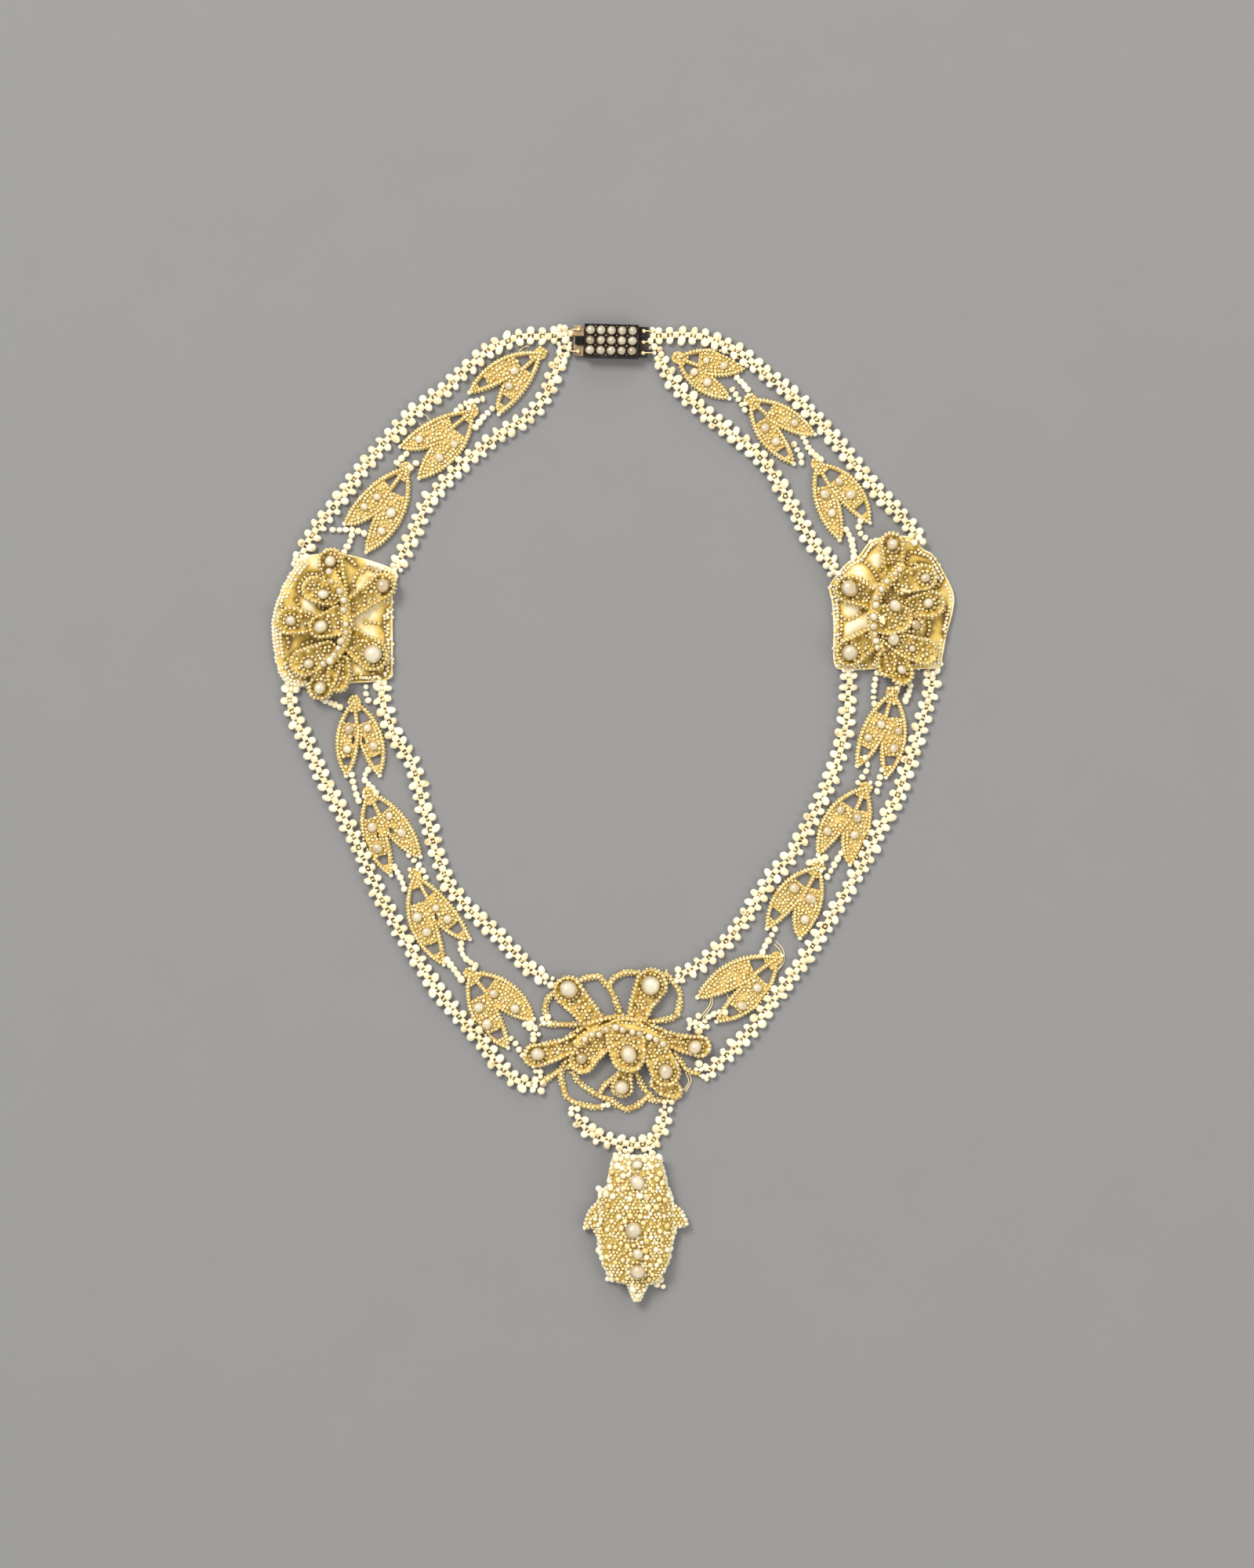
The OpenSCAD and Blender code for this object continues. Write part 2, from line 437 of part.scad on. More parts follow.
// A tongue from base to eye with a round end
module petal(p) {
    line = smooth([p[0], p[1], p[2]], 3);
    neck = 0.95 * p[3][2];
    half = [for (k = [0 : 3]) p[3][0] + (p[3][1] - p[3][0]) * k / 3];
    more = [for (k = [1 : 3]) p[3][1] + (neck - p[3][1]) * k / 3];
    polygon(strip(line, concat(half, more)));
    translate(p[2]) circle(r = p[3][2]);
}

// A flower ornament: its petals in three layers and the arched ridge, with seats for its pearls
module bloom(petals, arch, base, rows) {
    layers = [petal_h, lobe_h, core_h];
    translate([0, 0, base]) difference() {
        union() {
            for (p = petals) linear_extrude(layers[p[4]]) petal(p);
            linear_extrude(arch_h) polygon(strip(smooth(arch, 2), even(smooth(arch, 2), arch_w)));
        }
        for (p = rows) seats([p], layers[p[3]]);
    }
}

module bloom_centre() {
    color("goldenrod") {
        bloom(PETALS_CENTRE, ARCH_CENTRE, 0, SET_CENTRE);
        for (b = BARS) linear_extrude(bar_h) polygon(strip(smooth(b, 2), even(smooth(b, 2), bar_w)));
    }
}

module bloom_side(petals, arch, rows) {
    color("goldenrod") bloom(petals, arch, silk_t + set_gap, rows);
}

module bloom_pearls(rows, base) {
    layers = [petal_h, lobe_h, core_h];
    color("ivory") for (p = rows) set_pearl(p[0], p[1], p[2], base + layers[p[3]] + set_gap);
}

// Height of the pendant's crown along its middle, at the highest place within r of y
function crown(y, r) = sqrt(pow(pendant_long_r, 2) - pow(max(abs(y - pendant_mid.y) - r, 0), 2))
    - pendant_long_r + pendant_h;

module pendant_body() {
    color("goldenrod") {
        intersection() {
            linear_extrude(pendant_h + 1) polygon(smooth_loop(PENDANT, 2));
            translate([pendant_mid.x, pendant_mid.y, pendant_h - pendant_crown_r]) rotate([90, 0, 0])
                cylinder(r = pendant_crown_r, h = 60, center = true, $fn = 180);
            translate([pendant_mid.x, pendant_mid.y, pendant_h - pendant_long_r])
                sphere(r = pendant_long_r, $fn = 240);
        }
        linear_extrude(wing_t) {
            polygon(smooth(WING_LEFT, 2));
            polygon(smooth(WING_RIGHT, 2));
        }
        translate([pendant_mid.x, tip_top, tip_r]) rotate([90, 0, 0])
            cylinder(r1 = tip_r, r2 = tip_end_r, h = tip_top - tip_low);
    }
}

module pendant_pearls() {
    color("ivory") for (p = SET_PENDANT) set_pearl(p[0], p[1], p[2], crown(p[1], p[2] / 2) + set_gap);
}

module at_clasp() {
    translate([clasp_at.x, clasp_at.y, 0]) rotate([0, 0, clasp_turn]) children();
}

// A block from x0 to x1 and from z0 to z1, w wide about the clasp's middle line
module block(x0, x1, w, z0, z1) {
    translate([x0, -w / 2, z0]) cube([x1 - x0, w, z1 - z0]);
}

// Thread holes in a row across an end plate
module thread_holes(x, places) {
    for (k = places) translate([x, k * hole_pitch, plate_z - 1]) cylinder(d = hole_d, h = plate_t + 2);
}

module clasp_box() {
    half = clasp_l / 2;
    color("dimgray") at_clasp() difference() {
        union() {
            block(-half, half, clasp_w, 0, clasp_h + rim_h);
            block(half, half + plate_l, plate_w, plate_z, plate_z + plate_t);
        }
        block(-half + rim_w, half - rim_w, clasp_w - 2 * rim_w, clasp_h, clasp_h + 2);
        block(-half + wall, half - wall, clasp_w - 2 * wall, wall, clasp_h - wall);
        block(-half - 1, -half + wall + 1, mouth_w, wall, mouth_h);
        block(-half - 1, -half + wall + 1, slot_w, wall, clasp_h - wall);
        thread_holes(half + plate_l / 2, [-1, 0, 1]);
    }
}

module clasp_tongue() {
    half = clasp_l / 2;
    end = -half - gap;
    low = wall + 0.1;
    color("peru") at_clasp() difference() {
        union() {
            block(end - plate_l, fold_x + 0.6, leaf_w, low, low + tongue_t);
            block(fold_x + 0.2, fold_x + 0.6, leaf_w, low, fold_z + lever_t);
            block(end - plate_l, end, plate_w, low, plate_z + plate_t);
        }
        block(end - plate_l - 1, end + 1, slot_w, low + tongue_t, plate_z + plate_t + 1);
        thread_holes(end - plate_l / 2, [-1, 1]);
    }
}

// The sprung leaf, hinged at the fold and rising towards the mouth, with its neck and thumb-piece
module clasp_lever() {
    half = clasp_l / 2;
    color("black") at_clasp() {
        translate([fold_x, 0, fold_z]) rotate([0, lever_rise, 0]) block(-leaf_l, 0, lever_w, 0, lever_t);
        block(-half - 0.6, -half + 1.2, neck_w, 1.7, thumb_z + 0.1);
        block(-half - 0.2 - thumb_l, -half - 0.2, thumb_w, 1.7, 1.7 + thumb_t);
    }
}

module clasp_pearls() {
    color("ivory") at_clasp() for (i = [-2 : 2], j = [-1 : 1])
        set_pearl(i * pearl_pitch.x, j * pearl_pitch.y, clasp_pearl_d, clasp_h + set_gap);
}

clasp_box();
clasp_tongue();
clasp_lever();
clasp_pearls();
band(UL_OUTER, 1);  // band_ul_outer
band(UL_INNER, 1);  // band_ul_inner
band(UR_OUTER, 1);  // band_ur_outer
band(UR_INNER, 1);  // band_ur_inner
band(LL_OUTER, 1);  // band_ll_outer
band(LL_INNER, 1);  // band_ll_inner
band(LR_OUTER, 1);  // band_lr_outer
band(LR_INNER, 1);  // band_lr_inner
band(SWAG, 2);  // band_swag
plaque(PLATE_LEFT);  // plaque_left
plaque(PLATE_RIGHT);  // plaque_right
bloom_side(PETALS_LEFT, ARCH_LEFT, SET_LEFT);  // bloom_left
bloom_side(PETALS_RIGHT, ARCH_RIGHT, SET_RIGHT);  // bloom_right
bloom_centre();
bloom_pearls(SET_LEFT, silk_t + set_gap);  // bloom_left_pearls
bloom_pearls(SET_RIGHT, silk_t + set_gap);  // bloom_right_pearls
bloom_pearls(SET_CENTRE, 0);  // bloom_centre_pearls
pendant_body();
pendant_pearls();
strings(STRINGS_UL);  // strings_ul
strings(STRINGS_UR);  // strings_ur
strings(STRINGS_LL);  // strings_ll
strings(STRINGS_LR);  // strings_lr
sprig_pearls(PEARLS_UL);  // sprig_pearls_ul
sprig_pearls(PEARLS_UR);  // sprig_pearls_ur
sprig_pearls(PEARLS_LL);  // sprig_pearls_ll
sprig_pearls(PEARLS_LR);  // sprig_pearls_lr
for (k = [0 : 13]) sprig(SPRIGS[k], quarter(k));
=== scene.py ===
import bpy, math, random
import numpy as np
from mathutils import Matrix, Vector
from mathutils.bvhtree import BVHTree


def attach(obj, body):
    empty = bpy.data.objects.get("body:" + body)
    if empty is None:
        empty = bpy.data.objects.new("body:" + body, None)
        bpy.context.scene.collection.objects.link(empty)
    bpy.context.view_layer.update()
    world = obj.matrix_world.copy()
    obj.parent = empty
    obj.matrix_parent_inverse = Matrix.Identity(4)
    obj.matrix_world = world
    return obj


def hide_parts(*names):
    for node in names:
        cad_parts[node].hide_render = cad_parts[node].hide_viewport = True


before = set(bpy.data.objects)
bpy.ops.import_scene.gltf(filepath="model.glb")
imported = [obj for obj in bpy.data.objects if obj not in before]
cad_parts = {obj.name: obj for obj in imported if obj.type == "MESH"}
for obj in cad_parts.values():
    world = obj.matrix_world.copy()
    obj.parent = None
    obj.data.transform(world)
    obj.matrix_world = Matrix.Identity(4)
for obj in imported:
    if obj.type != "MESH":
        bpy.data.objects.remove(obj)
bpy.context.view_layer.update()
rng = random.Random(11)
MM = 0.001
BODY = "collar"

# The routes and outlines of the CAD source in millimetres, as x, y, x, y and so on
BANDS = {
    "ul_outer": [-8.8, 100.8, -13.5, 100.2, -19, 100.1, -24.3, 98.3, -28, 96, -31, 93.2, -34.5, 89.8,
        -38.2, 87, -41.7, 84.4, -45, 81.1, -48.3, 77.6, -51.1, 74.3, -54, 70.9, -56.8, 66.7, -59.8, 63.1,
        -62.8, 59, -64.8, 56, -66, 52.8],
    "ul_inner": [-9.8, 96.4, -11.6, 95.4, -12, 93.5, -13.1, 90.5, -14.6, 87.2, -16.4, 84.7, -19.4, 82.3,
        -23, 80.1, -27.3, 76.8, -31.4, 73.7, -35.7, 69.1, -38.9, 65.6, -40.7, 61.8, -42.7, 57.5,
        -44.8, 53.3, -45.3, 51.8],
    "ur_outer": [8.3, 100.2, 13.1, 100.4, 18, 100.1, 22.5, 98.8, 27.3, 96.3, 31, 93.1, 34.2, 90.5,
        38, 87.7, 41.5, 84.1, 45.5, 79.8, 49.7, 74.7, 52.7, 70.9, 57.5, 65.6, 61.6, 61.2, 63.6, 58.6],
    "ur_inner": [9.4, 95.6, 11.1, 93.3, 13.1, 89.8, 17.4, 85.6, 22.7, 81.3, 28.3, 77.1, 31.4, 74,
        34.1, 70.4, 36.5, 66.1, 39, 62, 41.2, 57.7, 45, 53.4, 46.6, 51.8],
    "ll_outer": [-67.6, 27.2, -68.1, 24.8, -67.9, 22.5, -66.6, 18.9, -64.3, 14.6, -61.5, 8, -58.2, 1.7,
        -54.9, -4.5, -51.9, -11.1, -49.1, -17.4, -45.8, -23.3, -43.3, -27.6, -39.5, -33.6, -36.7, -37.9,
        -31.9, -43.5, -27.5, -48.4, -22.9, -54.4, -19.5, -56.6, -16.6, -57.2],
    "ll_inner": [-48.3, 27.4, -48.7, 25.2, -48.1, 22, -46.8, 17.9, -44.8, 14.1, -42.5, 10.6, -41, 6.4,
        -40.3, 2.4, -39, -1.6, -37.4, -7.8, -34.9, -14.4, -31.1, -19.6, -26, -24.2, -21.5, -28.8,
        -16.9, -33.4, -14.3, -34.5],
    "lr_outer": [66.6, 30.6, 67.2, 28.4, 66.4, 24.3, 65.1, 19.7, 63.8, 15.4, 61.8, 9.2, 59.5, 2.9,
        56.3, -2.9, 53.4, -9.2, 49.6, -15.6, 46, -21.7, 42.3, -27.5, 38.4, -33.4, 33.7, -39.2,
        29.6, -44.8, 24.3, -50.7, 20.2, -54.2],
    "lr_inner": [49.3, 30, 49.6, 27.8, 49.3, 23.2, 48.6, 16.7, 46.8, 9.8, 44.1, 3.5, 41, -2.6, 37.4, -9,
        32.8, -14.1, 28.8, -20.5, 25, -25.8, 19.4, -31.1, 15.8, -33.4, 14, -34.2],
    "swag": [-7.5, -64, -6.3, -66, -4, -67.9, 0.4, -69.2, 4.9, -69.9, 8.4, -68.9, 10.2, -66.3,
        10.6, -63.3],
}
PLATE_LEFT = [-65.4, 53.4, -63, 54.3, -56, 54.3, -46.6, 51.4, -45.5, 49, -46.4, 46, -46.4, 31.6,
    -47.4, 28, -56.5, 27.2, -66.4, 26.6, -69.6, 28.4, -71, 32.4, -71.7, 38.8, -71.1, 43, -69.7, 47,
    -67.7, 50.6]
PLATE_RIGHT = [65.3, 55.4, 67.2, 54.2, 69.6, 50.4, 71.6, 46, 71.4, 42.2, 70.1, 37.4, 69.2, 32.6, 68, 30.4,
    55.5, 30.2, 48.4, 30, 46.4, 31.6, 46.3, 39, 46, 44, 45.4, 47.4, 47, 50.2, 49.5, 52.8, 51.6, 54,
    54, 57, 57.4, 58, 62.3, 58]
ARCH_CENTRE = [-8, -49, -6, -47.2, -3, -45.9, 1, -45, 5.5, -45.4, 8.5, -46.9, 11.5, -49.5]
ARCH_LEFT = [-59.4, 50.6, -58, 48.5, -56.5, 45, -56, 41, -56, 38, -57, 34.6, -59.8, 31.4]
ARCH_RIGHT = [61, 52, 58.5, 49.5, 56, 46.5, 54.6, 43, 54.4, 40, 54.8, 36.6, 56.6, 33.6]
PENDANT = [1, -72.6, -0.2, -74, -1, -78, -2, -81.5, -3, -86.5, -2.6, -93, -0.6, -97, 3, -99, 7, -99,
    10, -97, 11.6, -93, 12.8, -86.5, 12.2, -81.5, 11, -78, 10, -74, 9, -72.6]
WING_LEFT = [-0.6, -78.8, -1.9, -79, -2.9, -80.2, -3, -81.6, -4.6, -83.2, -5.6, -85.4, -6, -87.3,
    -4.4, -87.1, -3.2, -89.4, -1, -92.5]
WING_RIGHT = [11, -81, 12.4, -82.2, 14.2, -83.6, 15, -85, 15.4, -86.7, 13.2, -87.1, 12, -89.6, 10.5, -92]
BARS = [[-15.3, -44.2, -11.2, -44.6, -6.2, -44.4, -1.2, -43.2, 3, -43.2, 8, -43.9, 11.4, -43.5,
    13.8, -42.5], [-7.6, -35.6, -5, -34.6, -3, -34.6, -1.6, -36, -0.4, -37.6, 0.6, -40, 1.7, -42.6],
    [-1, -36.4, 0.5, -34.6, 2.6, -33.7, 5.4, -33.8], [10.8, -33.6, 12.5, -35.6, 13.8, -37.6, 14, -39.9,
    13.4, -42.8], [-12.4, -37.6, -14, -39.6, -14.3, -41.8, -13.6, -44.4], [-9.6, -51.6, -11, -54.6,
    -10.6, -57.5, -9.6, -60, -7, -61.4, -4.5, -61.9, -2.4, -61.9], [-8.6, -54.4, -7, -57, -5, -58.4,
    -3, -59.6, -0.6, -60.4, 1.2, -61.8, 3, -62.4, 5, -61.6, 7.4, -59.6], [-3, -59.6, -1.8, -57.4, 1, -55],
    [4.6, -54.4, 6.2, -57.6, 8, -59.9], [7, -60, 9.6, -60.6, 12, -60.4, 14, -59.6], [-9, -53,
    -11.6, -54.5, -13.6, -55.8, -15.4, -56.8], [12.6, -50, 14.4, -52.9, 16, -54.4, 18.3, -54.9]]
SILK_T, GAP = 1.5, 0.05
LEAF_T = 0.8
CLASP_AT, CLASP_TURN = (-0.4, 99.0), math.radians(-1.5)

# Each sprig: name, stem, then the tip of each leaf and how far its two sides reach
SPRIGS = [
    ("ul_1", (-15.3, 96.6), (-30.2, 88.4), (3.1, 1.5), (-24, 83.9), (1.7, 3)),
    ("ul_2", (-29.6, 84.5), (-44.8, 77), (2, 3.2), (-40.8, 70.4), (3.5, 2.2)),
    ("ul_3", (-43.6, 72.5), (-56.5, 60.8), (2.2, 3.2), (-51.9, 54.9), (3.8, 1.7)),
    ("ur_1", (13.6, 95.7), (28, 94), (2.6, 3), (24.3, 87.2), (2.8, 1.5)),
    ("ur_2", (28.9, 86.8), (42.3, 79.6), (2.4, 2.2), (37.9, 73.4), (3.1, 1.6)),
    ("ur_3", (42.9, 73.3), (53.9, 61), (3.8, 1.6), (47.6, 57.4), (2.7, 2.2)),
    ("ll_1", (-54.5, 23.4), (-56.2, 7.8), (2.9, 1.9), (-49.2, 7.9), (3.3, 1.8)),
    ("ll_2", (-51.5, 4.2), (-46.8, -13.1), (3.6, 1.5), (-40.6, -9.2), (2.7, 2.5)),
    ("ll_3", (-41.7, -13.1), (-35.7, -31.9), (4.3, 1.3), (-30.2, -26.5), (1.7, 3.4)),
    ("ll_4", (-30.1, -33.8), (-22.2, -49.4), (3.8, 1.7), (-16.8, -43.3), (3.3, 2.6)),
    ("lr_1", (58.7, 25.3), (51.3, 9.9), (2.4, 2.4), (57.4, 7.5), (3.6, 1.7)),
    ("lr_2", (53.1, 5.2), (43.1, -8.8), (3.7, 1.3), (49.8, -10.8), (2.6, 3.1)),
    ("lr_3", (43.2, -11.5), (32.4, -24.3), (3.6, 1.5), (39.3, -26.3), (2.6, 3)),
    ("lr_4", (34.4, -30.5), (17.8, -38.8), (3.5, 1.9), (21.8, -43.9), (4, 1.5)),
]

# Each petal: its middle line, its half widths from base to tip, and its layer
PETALS_CENTRE = [
    ([-4, -44, -6.5, -41, -9.5, -37.5], [2.3, 2.5, 3.1], 0),
    ([5, -43.5, 6, -40, 8, -36.2], [2, 2.5, 3.4], 0),
    ([-7.5, -48, -11.5, -49.8, -16.4, -51.1], [1.8, 2, 2.5], 0),
    ([10.5, -47, 14, -48.4, 18.2, -49.1], [1.3, 1.8, 2.3], 0),
    ([2.5, -54, 2.2, -56, 1.9, -57.5], [1.3, 1.7, 2.3], 0),
    ([8.7, -56.4, 10.8, -57.8, 12.8, -58.3], [1.4, 1.8, 1.7], 0),
    ([-8.3, -47.2, 1, -44.1, 10, -46.6], [1.2, 1.7, 1.2], 0),
    ([-1, -47.5, -4.5, -49.5, -6.5, -52], [2.1, 2.8, 2.8], 1),
    ([5.5, -47.5, 9, -50.5, 11, -54.4], [2.1, 2.8, 3.1], 1),
    ([2.5, -45, 2.6, -48, 3.2, -51], [4, 4.1, 3.6], 2),
]
PETALS_LEFT = [
    ([-57.8, 46.4, -58.5, 49.3, -59.3, 52.7], [2, 2.3, 2.7], 0),
    ([-55.2, 42.7, -51.6, 45.3, -48.4, 47.6], [2.1, 2.3, 2.7], 0),
    ([-55.2, 37, -53.2, 34.9, -50.6, 33.1], [2.3, 3, 3.4], 0),
    ([-59, 31.6, -60.1, 28.8, -61.5, 26.2], [2.1, 2.4, 2.6], 0),
    ([-57.6, 32, -57.6, 29.4, -57.8, 27.5], [2.2, 2.5, 2.2], 0),
    ([-63.1, 39.8, -65.4, 40, -67.6, 40.2], [2, 2.5, 3], 0),
    ([-58.2, 45.3, -60.1, 46, -62.5, 46.9], [2, 2.6, 2.8], 1),
    ([-59, 34.4, -61.8, 32.8, -64.8, 31.4], [2, 2.6, 3], 1),
    ([-56.8, 41, -58.5, 39.8, -61.3, 39], [3, 3, 2.5], 2),
]
PETALS_RIGHT = [
    ([59, 50.9, 58.7, 53.5, 58.5, 56.3], [2, 2.3, 2.5], 0),
    ([55, 44.3, 52.7, 45.6, 49.6, 46.9], [2.1, 2.5, 3.1], 0),
    ([54.7, 37, 52.4, 35.4, 49.6, 33.6], [2.1, 2.5, 3], 0),
    ([57.8, 35.6, 59.2, 32.4, 60.6, 29.2], [2, 2.3, 2.4], 0),
    ([57.4, 34, 57.4, 31.6, 57.4, 30.3], [1.8, 2.1, 1.8], 0),
    ([60, 40, 61.8, 39.6, 63.4, 39.4], [1.8, 1.8, 1.8], 0),
    ([62.3, 43.1, 64.3, 43.5, 66.7, 43.8], [2, 2.5, 2.9], 0),
    ([59.8, 47.6, 62.3, 48.6, 65.1, 49.3], [2, 2.5, 2.8], 1),
    ([57.6, 37.4, 61.2, 35, 65.3, 33.7], [2, 2.5, 2.8], 1),
    ([55.7, 40.7, 57.7, 40.3, 59.8, 40.7], [3, 3.3, 3], 2),
]

# The short bead strings between the sprigs
STRINGS = {
    "ul": [[-27.5, 87, -29, 86.5, -30.5, 86.2, -31.8, 85.5, -33, 84.5], [-25.5, 85, -26.5, 84, -27.5, 83,
        -28.3, 82, -29, 81], [-43.5, 75.5, -44.5, 74.5, -45.5, 73.5], [-41.5, 73.5, -42.7, 72.6],
        [-59, 59.5, -57.3, 59.4, -55.6, 59.5, -54, 59.3, -52.4, 58.7], [-55, 58.3, -55.4, 57.2,
        -55.9, 56.1, -56.6, 54.8]],
    "ur": [[26, 91.5, 27.2, 90.2, 28.3, 88.9], [25, 89, 26, 87.6, 26.8, 86.2, 27.6, 84.7], [40, 79,
        40.6, 77.6, 41.3, 76.3, 42.4, 75.2, 43.6, 74.3], [38, 77.5, 38.7, 76.2, 39.4, 75, 39.6, 73.6],
        [52, 61.5, 51.6, 60, 52.1, 58.5, 53, 57.8, 54.2, 56.9], [49, 59.5, 49.8, 58.1, 50.2, 56.6,
        50.5, 55.2, 50.6, 53.8]],
    "ll": [[-60.6, 23.6, -59.2, 23, -57.5, 22.2], [-52, 26.4, -52, 25, -51.6, 23.6], [-55, 8, -54.8, 6.6,
        -54.4, 5.2, -54, 3.8, -53.5, 2.5], [-51.5, 9, -52.4, 7.6, -52, 6.4, -50.7, 5.3, -49.9, 4.2],
        [-46, -11.5, -45.2, -12.9, -44.5, -14.4, -44, -16], [-43, -9, -42, -10, -41, -11, -40, -12.2,
        -39.4, -13.6], [-35, -31, -34, -32.3, -33, -33.6, -32, -35], [-32, -27.5, -32, -29, -31.4, -30.3,
        -30.2, -31.3, -29, -32.2], [-21.5, -47.5, -20.6, -48.6, -19.8, -49.8, -19, -51], [-18.5, -44.5,
        -17.6, -45.4, -16.4, -45.3]],
    "lr": [[55.5, 29.4, 55.1, 27.8, 54.9, 26.2, 54.7, 24.6, 54.9, 22.9], [62.5, 26.8, 62.1, 25.2,
        61.5, 23.6], [53, 11.5, 53.5, 10, 53.1, 8.5, 52.3, 7.4, 51.5, 6.3], [56.5, 9, 56.1, 7.5, 55.8, 6,
        55.5, 4.5], [44.5, -9.4, 43.1, -9.9, 41.3, -10.5], [48, -8.5, 46.9, -10.2, 45.9, -11.9,
        45, -13.5], [34, -24.5, 33, -26.4, 32, -28, 31.4, -29.4], [23.5, -42, 22, -42.1, 20.6, -42.6,
        19.4, -43.6, 18.9, -45], [17.9, -42.8, 18.2, -44.2, 18, -46]],
}

# The pearls along the arches of the flower ornaments: x, y, diameter
ALONG_CENTRE = [[-6, -47.5, 1.4], [-4.5, -46.5, 1.4], [-3, -46.5, 1.4], [-1.5, -45.5, 1.5],
    [0.5, -45, 1.6], [2, -45.5, 1.6], [4, -46, 1.6], [5.5, -46.5, 1.5], [7.5, -47, 1.7], [9, -47.5, 1.5],
    [10.5, -48.5, 1.5]]
ALONG_LEFT = [[-59.5, 50.5, 1.5], [-59, 48.5, 1.3], [-57.3, 46.4, 1.4], [-56.5, 44.5, 1.5],
    [-56.5, 42.5, 1.5], [-56, 39.5, 1.5], [-56, 37.7, 1.3], [-57, 36, 1.8], [-57.6, 34.4, 1.4],
    [-58.5, 33, 1.7], [-59.3, 31.9, 1.7], [-60.8, 31.2, 1.5]]
ALONG_RIGHT = [[60, 51, 1.3], [59, 50, 1.3], [57.3, 48.5, 1.4], [56.2, 46.8, 1.5], [55, 45, 1.5],
    [55, 43.5, 1.7], [54.5, 41, 1.8], [54.5, 39, 1.7], [55, 36, 1.5], [54.8, 37.4, 1.4],
    [55.3, 34.6, 1.3]]

# The rows of small pearls between the petals of the side ornaments
ROWS_LEFT = [[-53.3, 51, -54.6, 48.6, -54.3, 46.3, -54.7, 43.9], [-56.2, 53.9, -55.1, 53, -53.7, 51.5],
    [-52.7, 50.6, -51.8, 51.5, -49.7, 50.6, -48, 50.8], [-50.5, 48.7, -52, 46.1, -52.2, 43.5],
    [-46.1, 44.7, -46.6, 43.5, -48, 40.9, -47.9, 38.6, -47.2, 35, -47.2, 32.7, -47.8, 29.4], [-52, 39.8,
    -50.7, 40, -48.3, 39.5], [-54.3, 35.7, -52.9, 36.1, -49.9, 35.6, -48.5, 34.8], [-54.4, 34.1,
    -52.9, 32, -50.3, 29.1, -49.1, 28.2], [-56.5, 33.5, -56.8, 31, -56.6, 28.4, -55, 28.2, -52.5, 28.4,
    -50.6, 27.9], [-59.5, 34.8, -62, 34.4, -65.8, 34], [-62.4, 35.5, -63.3, 36, -65.2, 35.3],
    [-61.8, 43.3, -59.8, 42.4, -58.6, 41.3, -57.7, 39.8], [-59.8, 48.9, -58, 48, -57.1, 46.8,
    -57.2, 45.9], [-59.6, 48.2, -61.5, 49.9, -64.1, 50, -65.8, 48.2, -66.1, 47, -65.7, 46.1, -64.5, 45.6],
    [-66.9, 33.4, -68.1, 32.4, -68.7, 31.4, -67.6, 29.1, -65.2, 28.6, -62.5, 28.9, -61.5, 29.6],
    [-66.5, 44.6, -65.7, 42.8, -64.5, 41.4], [-69, 37.6, -68.2, 36, -68.4, 34.8], [-69.6, 43.3,
    -68.9, 41.6, -69.9, 39.5], [-56.7, 49.2, -56.4, 48, -55.8, 46.8]]
ROWS_RIGHT = [[48, 51.2, 48.8, 52.2, 51, 53.5, 53.5, 52.2, 55.1, 50.2, 55.7, 49], [54.3, 56.2, 53.5, 55.1,
    53, 54], [56.9, 57.4, 57.7, 58.7, 59.3, 58.7, 60.4, 57.7], [58.2, 53.8, 57.4, 52.8, 56.2, 50.9],
    [61.6, 52.5, 62.1, 54.4, 63, 54.7, 65.6, 54, 68.3, 52.8, 69.3, 50, 67.8, 47.3, 65.3, 46.3],
    [62.6, 52.1, 65.2, 52.2, 67.7, 51.5, 68.3, 50.5], [55.2, 36.1, 55, 33.5, 55.1, 30.9], [59.8, 47.8,
    61.9, 47.1, 64.1, 46.4], [66.6, 33.5, 64.5, 32.5, 65.2, 30.6], [56.7, 42.3, 57, 41.6, 58.5, 40.2,
    59.6, 39.6, 61, 39.6, 60.5, 38.6, 61, 37.9], [61.9, 40.3, 62, 41.6, 63.2, 41.6, 62.6, 43.7,
    63.6, 44.8], [58.2, 32.3, 59, 29.9], [56.4, 34.6, 58.2, 33.1, 61.3, 32.5, 62.4, 32.7, 62.9, 34.9,
    62.1, 35.9], [47.4, 42, 48.8, 40.6, 50, 40.7, 52.2, 42.1, 53.3, 43.4], [53, 34.5, 51.5, 32.7],
    [52.7, 38.1, 51.6, 38, 48.9, 35.9], [46.7, 47, 46.9, 45, 48, 39.8, 47.6, 35.9], [66.3, 40, 66.5, 38.7,
    65.7, 36.6, 64, 34.8], [69.3, 44.3, 70, 40.8, 69.7, 37.1], [55.6, 29.2, 58.3, 28.2, 60.6, 26.7,
    62.5, 27.6, 63.1, 29], [46.8, 32.4, 49, 31.2, 52.7, 30.3]]

# Where the silk of each side plate is paler: x, y and how far
PALE_LEFT = [[-51.1, 42.1, 2.2], [-51.1, 37.6, 2.2], [-53, 47.3, 1.4], [-64.3, 43.5, 1.6], [-50, 52, 2.5]]
PALE_RIGHT = [[51.7, 50.5, 1.9], [50.2, 42.7, 2.0], [51, 38.6, 2.2], [55.4, 53, 1.3], [56.9, 31.7, 1.6],
    [62.6, 36.4, 1.8]]

